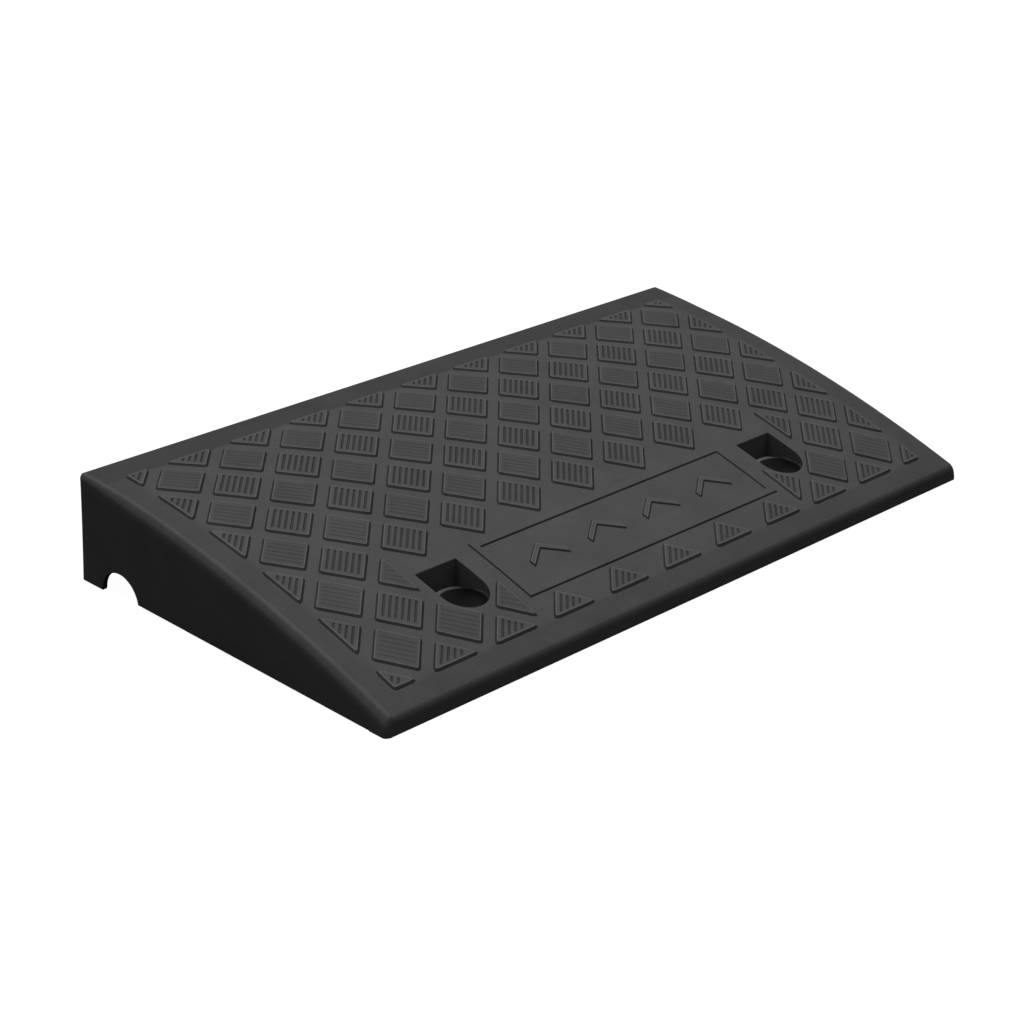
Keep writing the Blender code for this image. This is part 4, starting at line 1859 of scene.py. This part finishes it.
@dataclass
class PanelFrame(RampPiece):
    """Flat raised frame round the panel between the pockets.

    Attributes:
        relief: Profile of the frame's edges.
        length: Length of the frame.
        width: Width of the frame.
        from_nose: Distance of its middle from the nose.
        border: Width of its flat band.
        slice_size: Widest slice along it, so that it can bow with the deck.
    """

    relief: RaisedShape = RaisedShape(height=0.0009, draft=0.0005, rim_highlight=0.2)
    length: float = 0.2176
    width: float = 0.0516
    from_nose: float = 0.0599
    border: float = 0.0055
    slice_size: float = 0.004

    def ring(self, inward: float, height: float, wear: float) -> list[Spot]:
        """Ring along the frame.

        Args:
            inward: How far it lies inside the frame's outer edge.
            height: Its height above the deck.
            wear: Painted light on the plastic there, highlight or shade.

        Returns:
            The spots in order.
        """
        half_length, half_width = self.length / 2, self.width / 2
        signs = ((-1, -1), (1, -1), (1, 1), (-1, 1))
        corners = inset([Vector((x * half_length, y * half_width)) for x, y in signs], inward)
        spots = []
        for index, corner in enumerate(corners):
            end = corners[(index + 1) % len(corners)]
            side = self.length if index % 2 == 0 else self.width
            for share in even_steps(0.0, 1.0, self.slice_size / side)[:-1]:
                place = corner.lerp(end, share)
                x = place.x + self.form.tread_shift
                y = place.y + self.form.front + self.from_nose
                spots.append(Spot(x, y, height, 0.0, wear))
        return spots

    def mesh(self) -> Mesh:
        """Build the frame, still flat.

        Returns:
            The mesh.
        """
        levels = self.relief.wall_levels()
        inner = [Level(self.border - inward, *rest) for inward, *rest in reversed(levels)]
        return lofted(self.name, [self.ring(*level) for level in levels + inner], ends=False)


@dataclass
class PanelChevrons(RepeatedPiece):
    """Row of plain chevrons in the panel that point up the ramp.

    Attributes:
        relief: Profile of their edges.
        count: Number of chevrons.
        spacing: Distance between their middles.
        span: Width of a chevron along the kerb.
        rise: How far its tip lies ahead of its feet.
        stroke: Width of its stroke up the ramp.
        from_nose: Distance of the row from the nose.
    """

    relief: RaisedShape = RaisedShape(height=0.0010, draft=0.0007, corner_radius=0.0008)
    count: int = 4
    spacing: float = 0.048
    span: float = 0.030
    rise: float = 0.011
    stroke: float = 0.0055
    from_nose: float = 0.0599

    def outline(self) -> list[Vector]:
        """Outline of one chevron about its own middle.

        Returns:
            Its corners, anticlockwise.
        """
        half = self.span / 2
        tip = (self.rise + self.stroke) / 2
        foot = tip - self.rise
        corners = [
            (-half, foot),
            (-half, foot - self.stroke),
            (0.0, tip - self.stroke),
            (half, foot - self.stroke),
            (half, foot),
            (0.0, tip),
        ]
        return [Vector(corner) for corner in corners]

    def kit(self) -> tuple[list[Mesh], list[Place]]:
        """One chevron, and the place of each.

        Returns:
            The chevron alone in a list, and the places.
        """
        y = self.form.front + self.from_nose
        steps = [number - (self.count - 1) / 2 for number in range(self.count)]
        places = [Place(self.form.tread_shift + step * self.spacing, y) for step in steps]
        return [self.relief.mesh("chevron", self.outline())], places


@dataclass
class Ribs(RepeatedPiece):
    """Ribs below the deck.

    Attributes:
        widest_bay: Largest distance between ribs, where no pocket sets it.
        draft: How much thinner a rib is at its foot, on each face.
        bedding: How far a rib reaches into the skin and the walls.
    """

    widest_bay: float = 0.048
    draft: float = 0.0002
    bedding: float = 0.0003

    def corners(self, low: float) -> list[tuple[float, float, float]]:
        """Corners of a rib's section.

        Args:
            low: Height of its lower edge above the ground.

        Returns:
            Place across the rib, height and foot of each corner, in order.
        """
        top = self.form.rib / 2
        thin = top - self.draft
        high = self.bedding - self.form.skin
        return [(-top, high, 0.0), (-thin, low, 1.0), (thin, low, 1.0), (top, high, 0.0)]


@dataclass
class LengthwiseRibs(Ribs):
    """Ribs from the nose bar to the wall along the kerb.

    Attributes:
        clear: Distance from a rib's arch to the cable channel.
        pocket_reach: Distance from a pocket's middle to the ribs on its flanks.
        slice_depth: Widest slice along a rib.
        arch_steps: Slices in a rib's arch.
    """

    clear: float = 0.004
    pocket_reach: float = 0.0227
    slice_depth: float = 0.004
    arch_steps: int = 32

    def places(self) -> list[float]:
        """Place of each rib along the kerb.

        Returns:
            The places in order.
        """
        form = self.form
        inner = form.bolt_x - self.pocket_reach
        outer = form.bolt_x + self.pocket_reach
        between = even_steps(-inner, inner, self.widest_bay)
        outside = even_steps(outer, form.half_length - form.wall, self.widest_bay)[:-1]
        return [-x for x in reversed(outside)] + between + outside

    def rib(self) -> Mesh:
        """Mesh of one rib in the middle of the ramp, arched over the cable channel.

        Returns:
            The mesh.
        """
        form = self.form
        start, end = form.bar_end - self.bedding, form.back - form.wall + self.bedding
        radius = form.channel_radius + self.clear
        slices = even_steps(start, end, self.slice_depth)
        for step in range(self.arch_steps + 1):
            turn = math.pi * step / self.arch_steps
            slices.append(form.channel_y - radius * math.cos(turn))
        rings = []
        for y in in_order(slices, start, end):
            arch = math.sqrt(max(0.0, radius**2 - (y - form.channel_y) ** 2))
            section = self.corners(max(arch, form.skirt_height(y)))
            rings.append([Spot(across, y, z, foot) for across, z, foot in section])
        return lofted("lengthwise_rib", rings, ends=True)

    def kit(self) -> tuple[list[Mesh], list[Place]]:
        """One rib, and the place of each."""
        return [self.rib()], [Place(x, 0.0) for x in self.places()]


@dataclass
class CrosswiseRibs(Ribs):
    """Ribs from one side wall to the other.

    Attributes:
        pocket_reach: Distance from a pocket's middle to the ribs before and behind it.
        channel_land: Flat between the cable channel and the last rib.
        slice_width: Widest slice along a rib.
    """

    pocket_reach: float = 0.0241
    channel_land: float = 0.008
    slice_width: float = 0.020

    def places(self) -> list[float]:
        """Place of each rib between nose and kerb.

        Returns:
            The places in order.
        """
        form = self.form
        last = form.channel_y - form.channel_radius - self.channel_land - form.rib / 2
        first = form.well_y - self.pocket_reach
        return [first] + even_steps(form.well_y + self.pocket_reach, last, self.widest_bay)

    def rib(self, y: float) -> Mesh:
        """Mesh of a rib, drawn about its own middle.

        Args:
            y: Where the rib stands, between nose and kerb.

        Returns:
            The mesh, which is as long as the leaning walls allow.
        """
        form = self.form
        half = form.half_length - form.wall + self.bedding
        spread = (form.foot_inner + self.bedding) / half
        rings = []
        for x in even_steps(-half, half, self.slice_width):
            section = self.corners(form.skirt_height(y))
            rings.append([
                Spot(x * spread if foot else x, across, z, foot) for across, z, foot in section
            ])
        return lofted("crosswise_rib", rings, ends=True)

    def kit(self) -> tuple[list[Mesh], list[Place]]:
        """The ribs, and the place of each.

        Returns:
            The ribs and the places, in order.
        """
        depths = self.places()
        places = [Place(0.0, y, number) for number, y in enumerate(depths)]
        return [self.rib(y) for y in depths], places


@dataclass
class Studio:
    """White floor and surroundings, soft light from above, and the camera.

    Attributes:
        floor_reach: Distance from the middle to the floor's edges.
        floor_drop: How far the floor lies below the ramp's feet.
        floor_colour: Colour of the floor as the ramp and its shadow see it.
        floor_glow: Glow that the camera sees besides it.
        sky: Colour of the even light from all round.
        key_strength: Strength of the overhead light.
        key_tilt: Its lean to the back and to the right, in degrees.
        key_spread: Angle over which it spreads, in degrees.
        camera_place: Place of the camera.
        camera_turn: Compass turn of its view from the Y axis, in degrees.
        camera_pitch: How far it looks down, in degrees.
        camera_roll: Its roll, in degrees.
        sensor: Width of its sensor, in millimetres.
        lens: Its focal length, in millimetres.
    """

    floor_reach: float = 12.0
    floor_drop: float = 0.0003
    floor_colour: float = 0.08
    floor_glow: float = 0.98
    sky: float = 0.12
    key_strength: float = 3.5
    key_tilt: tuple[float, float] = (10.0, 5.0)
    key_spread: float = 68.0
    camera_place: tuple[float, float, float] = (-0.9670, -0.9407, 0.6066)
    camera_turn: float = 44.99
    camera_pitch: float = 23.87
    camera_roll: float = 0.53
    sensor: float = 36.0
    lens: float = 83.40

    def seen_by_camera(self, nodes: Nodes, shown: Socket, other: Socket) -> Socket:
        """Show one shader to the camera and another to everything else.

        Args:
            nodes: Node tree of the material or the world.
            shown: Shader that the camera sees.
            other: Shader for all other rays.

        Returns:
            The socket of the mixed shader.
        """
        camera_ray = nodes.add("ShaderNodeLightPath").outputs["Is Camera Ray"]
        mix = nodes.add("ShaderNodeMixShader", {0: camera_ray, 1: other, 2: shown})
        return mix.outputs[0]

    def build_floor(self) -> None:
        """Build the floor, which looks white and keeps a soft shadow."""
        reach = self.floor_reach
        mesh = bpy.data.meshes.new("floor")
        corners = [(-reach, -reach), (reach, -reach), (reach, reach), (-reach, reach)]
        mesh.from_pydata([(x, y, -self.floor_drop) for x, y in corners], [], [(0, 1, 2, 3)])
        material = bpy.data.materials.new("floor_white")
        nodes = empty_nodes(material)
        matte = nodes.add("ShaderNodeBsdfDiffuse", {"Color": grey(self.floor_colour)}).outputs[0]
        glow = nodes.add("ShaderNodeEmission", {"Strength": self.floor_glow}).outputs[0]
        both = nodes.add("ShaderNodeAddShader", {0: matte, 1: glow}).outputs[0]
        mixed = self.seen_by_camera(nodes, both, matte)
        nodes.add("ShaderNodeOutputMaterial", {"Surface": mixed})
        mesh.materials.append(material)
        floor = new_object("floor", mesh)

    def build_sky(self) -> None:
        """Light the scene evenly from all round, and show white to the camera."""
        world = bpy.data.worlds.new("studio")
        nodes = empty_nodes(world)
        white = nodes.add("ShaderNodeBackground", {"Color": grey(1.0)}).outputs[0]
        dim = nodes.add("ShaderNodeBackground", {"Color": grey(self.sky)}).outputs[0]
        mixed = self.seen_by_camera(nodes, white, dim)
        nodes.add("ShaderNodeOutputWorld", {"Surface": mixed})
        bpy.context.scene.world = world

    def build_key(self) -> None:
        """Hang the broad overhead light."""
        light = bpy.data.lights.new("overhead_light", "SUN")
        light.energy = self.key_strength
        light.angle = math.radians(self.key_spread)
        lamp = bpy.data.objects.new("overhead_light", light)
        to_back, to_right = (math.radians(angle) for angle in self.key_tilt)
        lamp.rotation_euler = Euler((-to_back, to_right, 0.0))
        bpy.context.scene.collection.objects.link(lamp)

    def build_camera(self) -> None:
        """Set the camera where the photograph was taken from."""
        data = bpy.data.cameras.new("camera")
        data.sensor_width = self.sensor
        data.lens = self.lens
        camera = bpy.data.objects.new("camera", data)
        turn, pitch = math.radians(self.camera_turn), math.radians(self.camera_pitch)
        level = math.cos(pitch)
        forward = Vector((math.sin(turn) * level, math.cos(turn) * level, -math.sin(pitch)))
        look = forward.to_track_quat("-Z", "Y").to_matrix().to_4x4()
        roll = Matrix.Rotation(math.radians(self.camera_roll), 4, "Z")
        camera.matrix_world = Matrix.Translation(self.camera_place) @ look @ roll
        bpy.context.scene.collection.objects.link(camera)
        bpy.context.scene.camera = camera

    def build(self) -> None:
        """Build the floor, the light and the camera."""
        self.build_floor()
        self.build_sky()
        self.build_key()
        self.build_camera()
        bpy.context.scene.view_settings.view_transform = "Standard"


def ramp_pieces(form: RampForm) -> list[RampPiece]:
    """Every piece of the ramp, in the order in which they are built.

    Args:
        form: Sizes that the pieces share.

    Returns:
        The pieces, not yet built.
    """
    deck = MouldedPlastic("deck_plastic", "deck_black", (0.051, 0.051, 0.052), 0.60)
    wall = MouldedPlastic("wall_plastic", "wall_black", (0.047, 0.047, 0.048), 0.65)
    rib = MouldedPlastic("rib_plastic", "rib_black", (0.047, 0.047, 0.048), 0.70)
    # The pocket lining is a paler copy of the ribs' black plastic: a painted highlight in the deep
    # pockets.
    well = MouldedPlastic("well_plastic", "rib_black", (0.066, 0.066, 0.067), 0.70)
    lengthwise = tuple(f"lengthwise_rib_{number:02d}" for number in range(1, 11))
    crosswise = tuple(f"crosswise_rib_{number}" for number in range(1, 6))
    pieces: list[RampPiece] = [
        DeckSkin("deck_skin", ("deck_plate",), deck, form),
        TreadPads("tread_pads", ("deck_plate",), deck, form),
        PanelFrame("panel_frame", ("deck_plate",), deck, form),
        PanelChevrons("panel_chevrons", ("deck_plate",), deck, form),
        KerbWall("kerb_wall", ("back_wall",), wall, form),
    ]
    for side in Side:
        end = side.name.lower()
        walls = (f"{end}_side_wall", f"{end}_side_heel")
        pieces.append(SideWall(f"{end}_wall_with_heel", walls, wall, form, side=side))
        wells = (f"{end}_bolt_well",)
        pieces.append(BoltPocket(f"{end}_pocket_lining", wells, well, form, side=side))
    pieces.append(LengthwiseRibs("ribs_up_the_ramp", lengthwise, rib, form))
    pieces.append(CrosswiseRibs("ribs_along_the_kerb", crosswise, rib, form))
    return pieces


def main() -> None:
    """Build the ramp piece by piece, then the studio."""
    logging.basicConfig(level=logging.INFO, format="%(name)s: %(message)s")
    form = RampForm()
    line = DeckLine(form)
    plastics: dict[str, Material] = {}
    for piece in ramp_pieces(form):
        if piece.finish.name not in plastics:
            plastics[piece.finish.name] = piece.finish.build()
        made = piece.build(line, plastics)
        LOG.info("%s: %d faces", made.name, len(made.data.polygons))
    Studio().build()
    LOG.info("studio: floor, light and camera")


if __name__ == "__main__":
    main()
